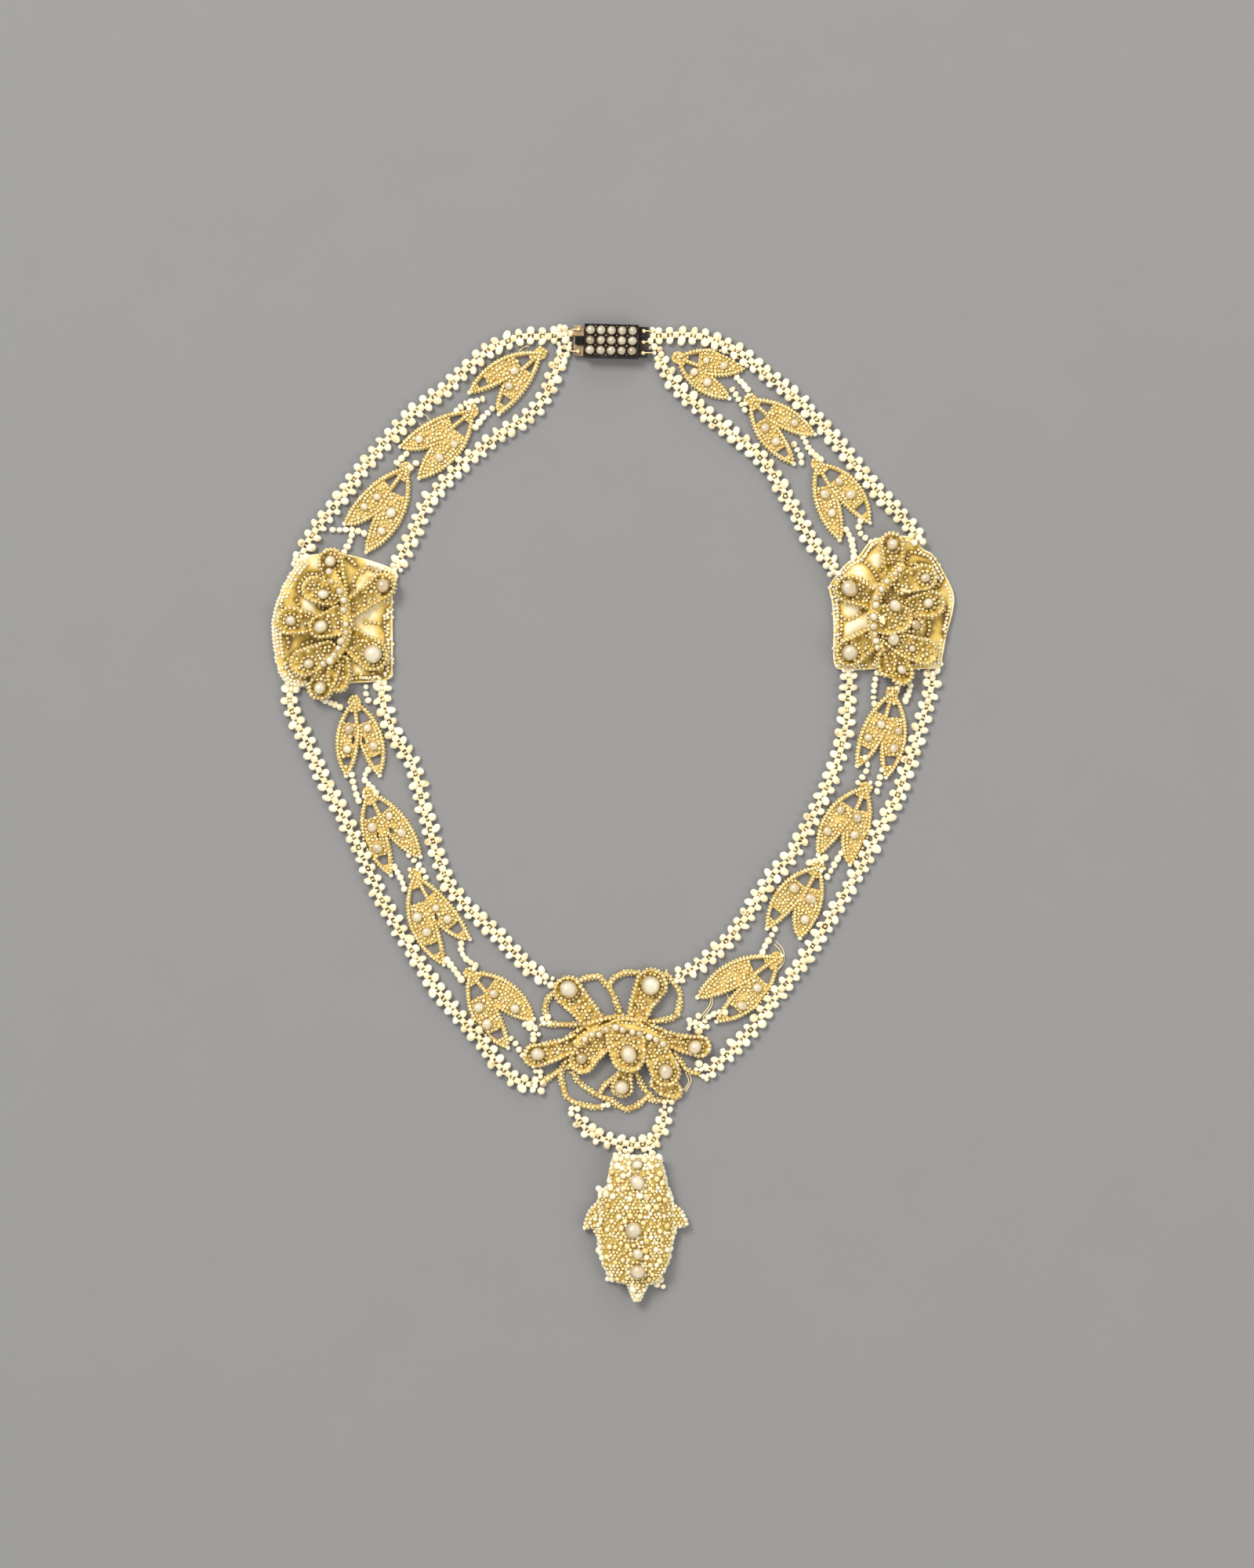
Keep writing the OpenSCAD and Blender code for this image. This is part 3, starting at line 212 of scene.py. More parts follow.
# Where loose pearls are tied in: x, y, how far they spread, how many, and their height above the floor
TIED = [[-10.4, 98.8, 1.3, 9], [-10.6, 101.4, 0.9, 4], [-10.3, 96.6, 0.8, 4], [8.8, 98.6, 1.3, 9],
    [8.9, 101.3, 0.9, 4], [9.2, 96.4, 0.9, 5], [-13.4, -35.4, 1, 4], [-14.3, -43.8, 0.9, 4],
    [-17.6, -44.9, 0.9, 3], [-16.3, -47.3, 0.7, 3], [-15.8, -55, 0.8, 3], [-15.8, -57.5, 1.2, 6],
    [-8.2, -62.7, 1, 6], [11.2, -62, 1.2, 7], [16.9, -44.6, 1, 6], [19.5, -44.2, 0.9, 3],
    [18, -53.2, 0.8, 4], [19.4, -55.2, 1, 5], [13.6, -35, 0.9, 4], [-66.3, 53.2, 1, 4],
    [-45.7, 51.8, 1, 5], [64.2, 57.4, 1, 5, 0.8], [46.4, 50.6, 1, 5, 0.8], [-67.8, 26.2, 1, 5],
    [-48.4, 26.8, 1, 5], [66.8, 29.9, 1, 5], [49.3, 29.2, 1, 5], [2.4, -71.3, 1.3, 8, 0.4],
    [7.4, -71.4, 1.3, 8, 0.4], [-2.4, -79.7, 0.7, 6, 0.6], [-2.6, -92.2, 0.7, 5, 0.3],
    [-0.6, -97.4, 0.7, 4, 0.3], [9.6, -98.8, 0.9, 5, 0.3], [0.9, -72.5, 0.8, 5, 2.2],
    [9.1, -72.5, 0.8, 5, 2.2], [-1.6, -61.6, 0.7, 4]]

# Loose ends of white thread
LOOSE_THREADS = [[-40, 83.9, -39.2, 83.3, -38.2, 81.9], [-40.8, 81.8, -39.8, 81.3, -38.4, 79.9],
    [-19.9, 96.9, -18.9, 97.9, -17.8, 98.1], [34.2, -27, 35.8, -29, 35.8, -31.6, 34.4, -33.2],
    [33.8, -27.6, 35.4, -29.4, 35.5, -31.4, 34.2, -33.4], [20.2, -37.7, 20.4, -40.2, 18.4, -42.9],
    [20.6, -37.9, 20.8, -40.4, 18.8, -43.2], [24, -38.2, 24.2, -39.2, 23.8, -40.2], [15.8, -54.6,
    16.4, -56.4, 15.2, -58.7], [15.3, -54.8, 15.9, -56.6, 14.8, -58.4]]

# Torn scraps of silk on the right ornament: x, y, turn, length, width, rise
SCRAPS = [[56.1, 41.2, -1.2, 1.9, 1.5, 0.9], [60.2, 46.9, -0.35, 2.3, 0.7, 0.5],
    [61.9, 45.6, 0.9, 1.4, 0.5, 0.7]]

# The small pearls of the pendant's tip: x, y, diameter
TIP_PEARLS = [[4.1, -99.9, 1.6], [5.1, -101.4, 1.3], [5.1, -102.2, 1.0], [6.4, -100.1, 1.2]]

# The one pearl that has gone brown
BROWN_PEARL = (63.4, 39.4)


# Routes and outlines

TINY = 1e-9


def smooth(points, per, closed=False):
    """A smooth curve through points, with per steps from each to the next."""
    p = np.array(points, float)
    if p.ndim == 1:
        p = p.reshape(-1, 2)
    n = len(p)
    out = []
    for i in range(n if closed else n - 1):
        a, b, c, d = p[[(i + k) % n if closed else min(max(i + k, 0), n - 1) for k in (-1, 0, 1, 2)]]
        for k in range(per):
            t = k / per
            out.append((2 * b + (c - a) * t + (2 * a - 5 * b + 4 * c - d) * t * t
                        + (3 * b - a - 3 * c + d) * t ** 3) / 2)
    return np.array(out if closed else out + [p[-1]])


def sideways(v):
    """Unit vectors to the left of flat vectors."""
    v = v / np.linalg.norm(v, axis=1)[:, None]
    return np.stack([-v[:, 1], v[:, 0]], 1)


def left_of(p):
    """The direction to the left of each point of an open route."""
    ends = np.vstack([p[:1], p, p[-1:]])
    return sideways(ends[2:] - ends[:-2])


def loop_in(p, inset):
    """A closed outline drawn in by inset, whichever way round it runs."""
    area = np.sum(p[:, 0] * np.roll(p[:, 1], -1) - np.roll(p[:, 0], -1) * p[:, 1])
    return p + sideways(np.roll(p, -1, 0) - np.roll(p, 1, 0)) * inset * (1 if area > 0 else -1)


def along(points, pitch, phase=0.0, closed=False):
    """(place, direction) at equal steps of about pitch along a route."""
    p = np.array(points, float)
    if closed:
        p = np.vstack([p, p[:1]])
    seg = np.linalg.norm(np.diff(p, axis=0), axis=1)
    s = np.concatenate([[0], np.cumsum(seg)])
    n = max(1, round(s[-1] / pitch))
    out = []
    for k in range(n if closed or phase else n + 1):
        a = (k + phase) * s[-1] / n
        i = int(min(max(np.searchsorted(s, a, side="right") - 1, 0), len(seg) - 1))
        d = (p[i + 1] - p[i]) / max(seg[i], TINY)
        out.append((p[i] + d * (a - s[i]), d))
    return out


def inside(p, q):
    """True if q lies inside the closed outline p."""
    x, y = p[:, 0], p[:, 1]
    x2, y2 = np.roll(x, -1), np.roll(y, -1)
    cross = (y > q[1]) != (y2 > q[1])
    with np.errstate(divide="ignore", invalid="ignore"):
        at = x + (q[1] - y) * (x2 - x) / (y2 - y)
    return bool(np.count_nonzero(cross & (q[0] < at)) % 2)


def unit(v):
    """A vector of length one."""
    return v / max(np.linalg.norm(v), TINY)


def circle(n):
    """The directions of n equal steps round a circle."""
    return [(math.cos(a), math.sin(a)) for a in (2 * math.pi * k / n for k in range(n))]


def jitter(reach, count=2):
    """Random steps of up to reach either way."""
    return np.array([rng.uniform(-reach, reach) for _ in range(count)])


# Faces

def skin(rings, n, flip=False):
    """The four-sided faces between rings of n points each, one after another."""
    faces = []
    for i in range(rings - 1):
        for k in range(n):
            a, b = i * n + k, i * n + (k + 1) % n
            faces.append((a, a + n, b + n, b) if flip else (a, b, b + n, a + n))
    return faces


def fan(tip, start, n, flip=False):
    """The triangles between a tip and a ring of n points that begins at start."""
    ring = [(start + k, start + (k + 1) % n) for k in range(n)]
    return [(tip, b, a) if flip else (tip, a, b) for a, b in ring]


# Pearls and other small forms

BALLS = {}
# The dent at each end of a pearl: its half width in radians, and its depth as a share of the radius
DENT_ANGLE, DENT_DEPTH = 0.24, 0.2
# Millimetres: the lowest a pearl reaches, a cell of Room's grid, the greatest step under a small pearl
ABOVE_FLOOR, CELL, STEEP = 0.03, 2, 1.2
# The rows of a honeycomb, as a share of its pitch
ROW_RISE = 0.87
ANY_PHASE = (0, 6.3)
UPWARD = (0, 0, 1)


def ball(nu, nv):
    """A round pearl with a dent at each pole: directions, four-sided faces, triangles."""
    if (nu, nv) not in BALLS:
        v = [(0, 0, 1 - DENT_DEPTH)]
        for r in range(nv):
            a = DENT_ANGLE + (math.pi - 2 * DENT_ANGLE) * r / (nv - 1)
            v += [(math.sin(a) * c, math.sin(a) * s, math.cos(a)) for c, s in circle(nu)]
        v.append((0, 0, DENT_DEPTH - 1))
        last = len(v) - 1
        tris = fan(0, 1, nu) + fan(last, last - nu, nu, True)
        BALLS[nu, nv] = np.array(v), np.array(skin(nv, nu, True)) + 1, np.array(tris)
    return BALLS[nu, nv]


def turned(axis):
    """A rotation matrix whose third column is axis, with a random turn about it."""
    z = unit(np.array(axis, float))
    x = unit(np.cross(jitter(1, 3), z))
    return np.stack([x, np.cross(z, x), z], 1)


class Heap:
    """Many small forms that become one piece. A point's tone is how pale it is, and its painted shading and
    tint turns its colour to the painted shade of its material, and below zero paler.
    """

    def __init__(self):
        self.v, self.quads, self.tris, self.quad_mats, self.tri_mats = [], [], [], [], []
        self.tone, self.deep, self.n = [], [], 0

    def put(self, v, quads=(), tris=(), mat=0, tone=0.5, deep=0.0):
        """Adds a form by its points and faces."""
        self.v.append(np.asarray(v, float))
        for faces, mats, new in ((self.quads, self.quad_mats, quads), (self.tris, self.tri_mats, tris)):
            if len(new):
                faces.append(np.asarray(new) + self.n)
                mats += [mat] * len(new)
        for kept, value in ((self.tone, tone), (self.deep, deep)):
            kept.append(np.broadcast_to(np.asarray(value, float), len(v)))
        self.n += len(v)

    def pearl(self, at, d, axis=None, mat=0, fine=(8, 6), odd=0.08, tone=None, long=1.0):
        """A pearl of diameter d about a place, a little out of round."""
        dirs, quads, tris = ball(*fine)
        if axis is None:
            axis = (rng.gauss(0, 1), rng.gauss(0, 1), rng.gauss(0, 0.5))
        if len(axis) == 2:
            axis = (*axis, rng.uniform(-0.15, 0.15))
        r = turned(axis)
        half = d / 2 * (1 + odd * jitter(1, 3))
        half[2] *= long
        swell = 1 + 0.6 * odd * np.sin(dirs @ jitter(2.5, 3) + rng.uniform(*ANY_PHASE))
        rel = (dirs * half * swell[:, None]) @ r.T
        v = rel + np.array(at, float)
        v[:, 2] = np.maximum(v[:, 2], ABOVE_FLOOR)
        if tone is None:
            tone = min(max(rng.gauss(0.55, 0.22), 0), 1)
        # Painted shading: the part of the pearl that faces about upward turns darker and warmer, and its
        # sides and underside take its material's painted shade
        facing = rel @ unit(np.array([*jitter(0.6), 1.0])) / np.maximum(np.linalg.norm(rel, axis=1), TINY)
        core = np.clip((facing - 0.45) / 0.55, 0, 1)
        self.put(v, quads, tris, mat, tone - 0.35 * core, np.clip(1.1 - 2.4 * rel[:, 2] / d, 0, 1))

    def thread(self, points, d, mat=0, sides=6, per=4):
        """A thread of diameter d along points in space."""
        p = smooth(points, per)
        dirs = np.gradient(p, axis=0)
        dirs = dirs / np.maximum(np.linalg.norm(dirs, axis=1), TINY)[:, None]
        v = []
        for q, w in zip(p, dirs):
            a = unit(np.cross((0.01, 0.02, 1.0), w))
            b = np.cross(w, a)
            v += [q + d / 2 * (c * a + s * b) for c, s in circle(sides)]
        n = len(v)
        tris = fan(n, 0, sides, True) + fan(n + 1, n - sides, sides)
        self.put(v + [p[0], p[-1]], skin(len(p), sides, True), tris, mat)

    def points(self):
        """All points, in metres."""
        return (np.concatenate(self.v) * MM).tolist()

    def faces(self):
        """All faces, the four-sided ones first."""
        return [f for part in self.quads + self.tris for f in part.tolist()]

    def tree(self):
        """What is here so far, for finding how high it is."""
        return BVHTree.FromPolygons(self.points(), self.faces())

    def made(self, name, mats):
        """The whole heap as one object."""
        me = bpy.data.meshes.new(name)
        me.from_pydata(self.points(), [], self.faces())
        me.polygons.foreach_set("material_index", self.quad_mats + self.tri_mats)
        me.polygons.foreach_set("use_smooth", [True] * len(me.polygons))
        for key, values in (("tone", self.tone), ("deep", self.deep)):
            me.attributes.new(key, "FLOAT", "POINT").data.foreach_set("value", np.concatenate(values))
        for m in mats:
            me.materials.append(m)
        me.update()
        ob = bpy.data.objects.new(name, me)
        bpy.context.scene.collection.objects.link(ob)
        return ob


def piece(heap, name, slot, mats, *nodes):
    """Hands a heap to the frame, in place of the CAD nodes named."""
    ob = heap.made(name, mats)
    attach(ob, BODY)
    if nodes:
        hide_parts(*nodes)


class Room:
    """Keeps pearls on a surface from running into each other."""

    def __init__(self, *taken):
        """taken has the x, y and radius of what is already there."""
        self.cells = {}
        for row in taken:
            self.add(*row)

    def free(self, x, y, r, share):
        """True if a pearl of radius r has room, by a share of the radii that stays clear."""
        i, j = math.floor(x / CELL), math.floor(y / CELL)
        near = [c for a in (-1, 0, 1) for b in (-1, 0, 1) for c in self.cells.get((i + a, j + b), ())]
        return all((x - a) ** 2 + (y - b) ** 2 >= (share * (r + c)) ** 2 for a, b, c in near)

    def add(self, x, y, r):
        """Notes a pearl of radius r."""
        self.cells.setdefault((math.floor(x / CELL), math.floor(y / CELL)), []).append((x, y, r))

    def take(self, x, y, r, share):
        """Notes a pearl of radius r if it has room, and says so."""
        if self.free(x, y, r, share):
            self.add(x, y, r)
            return True
        return False


def loose(name):
    """The separate solids of a CAD node: centre x, y, width across and top of each, in millimetres."""
    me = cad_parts[name].data
    v = np.array([p.co / MM for p in me.vertices])
    edges = np.array([e.vertices[:] for e in me.edges])
    part, before = np.arange(len(v)), None
    while before is None or (part != before).any():
        before = part.copy()
        np.minimum.at(part, edges, part[edges].min(1)[:, None])
    out = []
    for k in np.unique(part):
        low, high = v[part == k].min(0), v[part == k].max(0)
        x, y, _ = (low + high) / 2
        out.append((x, y, float(np.mean(high[:2] - low[:2])), high[2]))
    return out


def tree_of(*names):
    """The solids of some CAD nodes, for finding how high they are."""
    v, f = [], []
    for n in names:
        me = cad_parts[n].data
        base = len(v)
        v += [tuple(p.co) for p in me.vertices]
        f += [[base + i for i in p.vertices] for p in me.polygons]
    return BVHTree.FromPolygons(v, f)


def top(trees, x, y):
    """The height of the highest of some solids at a place, or None beside them."""
    hits = [tree.ray_cast(Vector((x * MM, y * MM, 0.05)), Vector((0, 0, -1)))[0] for tree in trees]
    return max((hit.z / MM for hit in hits if hit is not None), default=None)


class Bed(Room):
    """A surface that carries the small pearls of a heap."""

    def __init__(self, h, trees, *taken):
        """trees are the solids that carry the pearls of the heap h."""
        super().__init__(*taken)
        self.h, self.trees = h, trees

    def high(self, x, y):
        """The height of the surface at a place, or None beside it."""
        return top(self.trees, x, y)

    def seat(self, q, r, share, sink, mat=0, fine=(8, 5), edge=0.5):
        """Sets a small pearl where there is room, and where it isn't half over an edge."""
        x, y = q
        z = self.high(x, y)
        if z is None or not self.free(x, y, r, share):
            return
        reach = r * edge
        beside = [self.high(x + a * reach, y + b * reach) for a, b in ((1, 0), (-1, 0), (0, 1), (0, -1))]
        if sum(k is not None and abs(k - z) < STEEP for k in beside) >= 3:
            self.add(x, y, r)
            self.h.pearl((x, y, z + r * (1 - 2 * sink)), 2 * r, None, mat, fine)

    def lay(self, places, sizes, share, sink, mats=(), edge=0.5, stray=0.0):
        """Seats a small pearl at each of some places, up to stray beside it."""
        for q, _ in places:
            if stray:
                q = q + jitter(stray)
            self.seat(q, rng.uniform(*sizes), share, sink, rng.choice(mats) if mats else 0, edge=edge)

    def cover(self, low, high, pitch, sizes, keep, mats, above, sink, share, fine=(8, 5)):
        """Fills the surfaces between two corners with small pearls, in a loose honeycomb."""
        for j in range(int((high[1] - low[1]) / (pitch * ROW_RISE)) + 1):
            for i in range(int((high[0] - low[0]) / pitch) + 1):
                x, y = jitter(0.15) * pitch
                q = (low[0] + (i + 0.5 * (j % 2)) * pitch + x, low[1] + j * pitch * ROW_RISE + y)
                z = self.high(*q)
                if z is not None and z > above and rng.random() < keep:
                    self.seat(q, rng.uniform(*sizes), share, sink, rng.choice(mats), fine)


# The share of the radii that stays clear in a tight place, and the tries for each pearl of a cluster
TIGHT, TRIES = 0.72, 15


def cluster(h, room, x, y, spread, count, low=0.0, sizes=(0.5, 0.8), mat=0):
    """A few pearls tied close together about a place."""
    left = count
    for _ in range(count * TRIES):
        q = jitter(1) * spread + (x, y)
        r = rng.uniform(*sizes)
        if left and room.take(*q, r, TIGHT):
            h.pearl((*q, low + r + rng.uniform(0, 0.7)), 2 * r, None, mat, (12, 8), 0.1)
            left -= 1


# Materials

def feed(t, n, inputs):
    """Links each input of a node to a socket, or sets it to a value."""
    for k, v in inputs.items():
        if isinstance(v, bpy.types.NodeSocket):
            t.links.new(v, n.inputs[k])
        else:
            n.inputs[k].default_value = v


def node(t, kind, inputs, **values):
    """A new node with its settings and inputs."""
    n = t.nodes.new(kind)
    for k, v in values.items():
        setattr(n, k, v)
    feed(t, n, inputs)
    return n


def material(name):
    """A material with an empty shader: the material, its node tree and the shader."""
    m = bpy.data.materials.new(name)
    m.use_nodes = True
    t = m.node_tree
    t.nodes.clear()
    out = t.nodes.new("ShaderNodeOutputMaterial")
    b = t.nodes.new("ShaderNodeBsdfPrincipled")
    t.links.new(b.outputs[0], out.inputs[0])
    return m, t, b


def ramp(t, fac, *stops):
    """A colour for each value of fac, by (value, colour) stops."""
    n = node(t, "ShaderNodeValToRGB", {0: fac})
    e = n.color_ramp.elements
    while len(e) < len(stops):
        e.new(0.5)
    for stop, (at, colour) in zip(e, stops):
        stop.position = at
        stop.color = (*colour, 1)
    return n.outputs[0]


def mix(t, fac, a, b):
    """Colour a, turned into the colour b as far as fac says."""
    return node(t, "ShaderNodeMix", {0: fac, 6: a, 7: (*b, 1)}, data_type="RGBA").outputs[2]


def maths(t, how, a, b, clamp=False):
    """A sum on two values, by the name of its kind."""
    return node(t, "ShaderNodeMath", {0: a, 1: b}, operation=how, use_clamp=clamp).outputs[0]


def times(t, a, b):
    """The product of two values."""
    return maths(t, "MULTIPLY", a, b)


def blend(t, a, part_a, b, part_b):
    """The sum of two values, each by its part."""
    return maths(t, "ADD", times(t, a, part_a), times(t, b, part_b))


def place(t):
    """The place on the object, in metres."""
    return node(t, "ShaderNodeTexCoord", {}).outputs["Object"]


def noise(t, scale, detail, rough, vector=None):
    """Soft noise from 0 to 1."""
    where = place(t) if vector is None else vector
    values = {"Vector": where, "Scale": scale, "Detail": detail, "Roughness": rough}
    return node(t, "ShaderNodeTexNoise", values).outputs[0]


def wave(t, where, scale, distortion, way="X", **more):
    """Fine stripes that run across a direction."""
    values = {"Vector": where, "Scale": scale, "Distortion": distortion, **more}
    return node(t, "ShaderNodeTexWave", values, bands_direction=way).outputs["Fac"]


def bump(t, b, height, distance, strength):
    """Fine relief on a shader, distance in metres."""
    values = {"Height": height, "Strength": strength, "Distance": distance}
    feed(t, b, {"Normal": node(t, "ShaderNodeBump", values).outputs[0]})


def span(t, fac, low, high):
    """fac, from 0 to 1, stretched to run from low to high."""
    return node(t, "ShaderNodeMapRange", {"Value": fac, "To Min": low, "To Max": high}).outputs[0]


def attribute(t, name):
    """The tone or the painted shading and tint of the points."""
    return node(t, "ShaderNodeAttribute", {}, attribute_name=name).outputs["Fac"]


AMBER = (0.48, 0.31, 0.12)


def pearl_material(name, pale, mid, warm, deep, rough, how_deep, lustre, skin_index):
    """Old pearl: cloudy ivory, with painted shade towards its sides and underside, a satin body below a
    thin bright skin.
    """
    m, t, b = material(name)
    cloud = noise(t, 1100, 4, 0.6)
    spots = noise(t, 3600, 2, 0.5)
    at = blend(t, attribute(t, "tone"), 0.7, cloud, 0.4)
    colour = ramp(t, at, (0.0, AMBER), (0.12, warm), (0.42, mid), (0.78, pale))
    # Painted shade towards the sides and underside, then random flecks of the same colour
    low = times(t, maths(t, "POWER", attribute(t, "deep"), 1.3), how_deep)
    fleck = times(t, maths(t, "GREATER_THAN", spots, 0.68), 0.18)
    colour = mix(t, maths(t, "ADD", low, fleck, True), colour, deep)
    feed(t, b, {"Base Color": colour, "Roughness": span(t, cloud, *rough), "Metallic": lustre,
                "Coat Weight": 1.0, "Coat Roughness": 0.06, "Coat IOR": skin_index,
                "Specular IOR Level": 0.3, "Subsurface Weight": 0.15,
                "Subsurface Radius": (1.0, 0.62, 0.25), "Subsurface Scale": 0.0007})
    bump(t, b, cloud, 0.00003, 0.6)
    return m


# Each pearl: pale, middle and warm shade, painted shade colour, roughness, strength of painted shade,
# lustre, skin index
# The band pearls' painted shade is pale: a painted glow on their sides and underside
SEED = pearl_material("seed_pearl", (0.87, 0.81, 0.63), (0.85, 0.74, 0.46), (0.80, 0.60, 0.28),
                      (0.95, 0.91, 0.79), (0.16, 0.3), 0.75, 0.15, 1.9)
RELIEF_SEED = pearl_material("relief_seed_pearl", (0.80, 0.69, 0.41), (0.69, 0.53, 0.23),
                             (0.52, 0.34, 0.09), (0.36, 0.22, 0.04), (0.18, 0.3), 0.9, 0.35, 2.2)
GOLD_SEED = pearl_material("golden_seed_pearl", (0.90, 0.78, 0.42), (0.82, 0.65, 0.26), (0.68, 0.45, 0.10),
                           (0.47, 0.28, 0.03), (0.14, 0.28), 0.85, 0.25, 1.9)
PEARL = pearl_material("pearl", (0.83, 0.74, 0.53), (0.73, 0.61, 0.38), (0.54, 0.38, 0.17),
                       (0.34, 0.22, 0.06), (0.2, 0.3), 0.85, 0.45, 2.6)
CLASP_PEARL = pearl_material("clasp_pearl", (0.62, 0.54, 0.37), (0.46, 0.38, 0.23), (0.32, 0.24, 0.12),
                             (0.05, 0.03, 0.012), (0.08, 0.16), 1.0, 0.4, 2.2)


def nacre_material(name, pale, mid, dark):
    """Old mother-of-pearl under varnish: cloudy gold, finely grained, with painted shade in its hollows."""
    m, t, b = material(name)
    where = place(t)
    soft = noise(t, 320, 5, 0.6, where)
    fine = noise(t, 2600, 4, 0.6, where)
    lines = wave(t, where, 950.0, 16.0, **{"Detail": 4.0, "Detail Scale": 2.2})
    at = maths(t, "ADD", blend(t, soft, 0.8, lines, 0.12), 0.1)
    # Painted shade in the hollows, from the points' painted shading
    at = maths(t, "SUBTRACT", at, times(t, attribute(t, "deep"), 0.7), True)
    colour = ramp(t, at, (0.0, dark), (0.34, mid), (0.74, pale))
    grime = times(t, maths(t, "GREATER_THAN", fine, 0.62), 0.22)
    feed(t, b, {"Base Color": mix(t, grime, colour, dark), "Roughness": span(t, soft, 0.28, 0.5),
                "Coat Weight": 0.15, "Coat Roughness": 0.25, "Subsurface Weight": 0.12,
                "Subsurface Radius": (1.0, 0.55, 0.2), "Subsurface Scale": 0.0006})
    bump(t, b, blend(t, lines, 0.25, fine, 0.75), 0.00006, 0.7)
    return m


NACRE = nacre_material("nacre", (0.86, 0.66, 0.25), (0.73, 0.50, 0.12), (0.34, 0.19, 0.03))
SHELL = nacre_material("carved_shell", (0.75, 0.56, 0.17), (0.60, 0.39, 0.07), (0.22, 0.12, 0.008))
GILT_SHELL = nacre_material("gilded_shell", (0.78, 0.58, 0.18), (0.58, 0.38, 0.06), (0.27, 0.165, 0.012))
# The pendant's gilt ground shows only between its pearls; its dark colour also paints the shade there
CRUST_AND_PAINTED_SHADE = nacre_material("gilded_crust_and_painted_shade", (0.58, 0.40, 0.08), (0.40, 0.25, 0.03), (0.14, 0.075, 0.005))


def silk_material():
    """Cream silk drawn over a card: a fine plain weave, yellowed in patches, with painted shade in its
    folds.
    """
    m, t, b = material("silk")
    where = place(t)
    warp, weft = [wave(t, where, 2700.0, 0.8, way, Detail=1.0) for way in ("X", "Y")]
    grain = times(t, maths(t, "ADD", warp, weft), 0.5)
    age = noise(t, 260, 5, 0.62, where)
    # Painted shade in the folds from the points' painted shading; below zero the silk is paler
    at = maths(t, "SUBTRACT", span(t, age, -0.42, 1.36), times(t, attribute(t, "deep"), 0.6), True)
    colour = ramp(t, at, (0.0, (0.21, 0.125, 0.012)), (0.2, (0.50, 0.32, 0.04)), (0.5, (0.71, 0.51, 0.14)),
                  (0.85, (0.93, 0.81, 0.54)))
    colour = mix(t, times(t, grain, 0.14), colour, (0.40, 0.24, 0.06))
    feed(t, b, {"Base Color": colour, "Roughness": span(t, age, 0.4, 0.65), "Sheen Weight": 0.4,
                "Sheen Roughness": 0.4})
    bump(t, b, grain, 0.00003, 0.7)
    return m


def metal_material(name, clean, worn, dark, wear):
    """Old metal under a tarnish, scratched and rubbed through in patches."""
    m, t, b = material(name)
    where = place(t)
    patch = noise(t, 420, 6, 0.65, where)
    fine = noise(t, 3200, 4, 0.7, where)
    stretch = node(t, "ShaderNodeVectorMath", {0: where, 1: (1.0, 9.0, 1.0)}, operation="MULTIPLY")
    scratch = noise(t, 1300, 2, 0.5, stretch.outputs[0])
    at = blend(t, patch, 0.7, scratch, 0.3)
    colour = ramp(t, at, (wear - 0.12, dark), (wear, worn), (wear + 0.16, clean))
    feed(t, b, {"Base Color": colour, "Metallic": 1.0, "Roughness": span(t, fine, 0.25, 0.55)})
    bump(t, b, blend(t, scratch, 0.4, fine, 0.6), 0.00003, 0.6)
    return m


def thread_material():
    """White silk thread gone yellow, with its twist; in the woven bands its golden colour also paints a
    glow between the pearls.
    """
    m, t, b = material("thread")
    ply = wave(t, place(t), 2600.0, 2.0, "DIAGONAL")
    colour = ramp(t, ply, (0.0, (0.70, 0.50, 0.20)), (0.5, (0.82, 0.63, 0.29)), (1.0, (0.87, 0.71, 0.38)))
    feed(t, b, {"Base Color": colour, "Roughness": span(t, ply, 0.4, 0.6), "Sheen Weight": 0.3})
    bump(t, b, ply, 0.00003, 0.8)
    return m


SILK = silk_material()
DARK = metal_material("tarnished_metal", (0.42, 0.32, 0.20), (0.10, 0.08, 0.06),
                      (0.028, 0.024, 0.024), 0.62)
GILT = metal_material("worn_gilt", (0.60, 0.44, 0.26), (0.34, 0.23, 0.13), (0.10, 0.07, 0.045), 0.5)
SPRING = metal_material("dark_spring", (0.16, 0.13, 0.10), (0.045, 0.04, 0.038),
                        (0.018, 0.016, 0.016), 0.66)
THREAD = thread_material()

# CAD nodes that stay as they are, with a new material
COATS = {"clasp_box": DARK, "clasp_tongue": GILT, "clasp_lever": SPRING, "pendant_body": CRUST_AND_PAINTED_SHADE}
for name, coat in COATS.items():
    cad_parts[name].data.materials.clear()
    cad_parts[name].data.materials.append(coat)


# Woven bands and bead strings

FLOOR_ROOM = Room()
# The pearls' diameters, then half a ring of the weave, how far out a side pearl is and a string's pitch
SEED_SIZES, SIDE_SIZES = (1.3, 1.62), (1.42, 1.78)
HALF_RING, SIDE_OUT, STRING_PITCH = 1.22, 1.1, 1.32


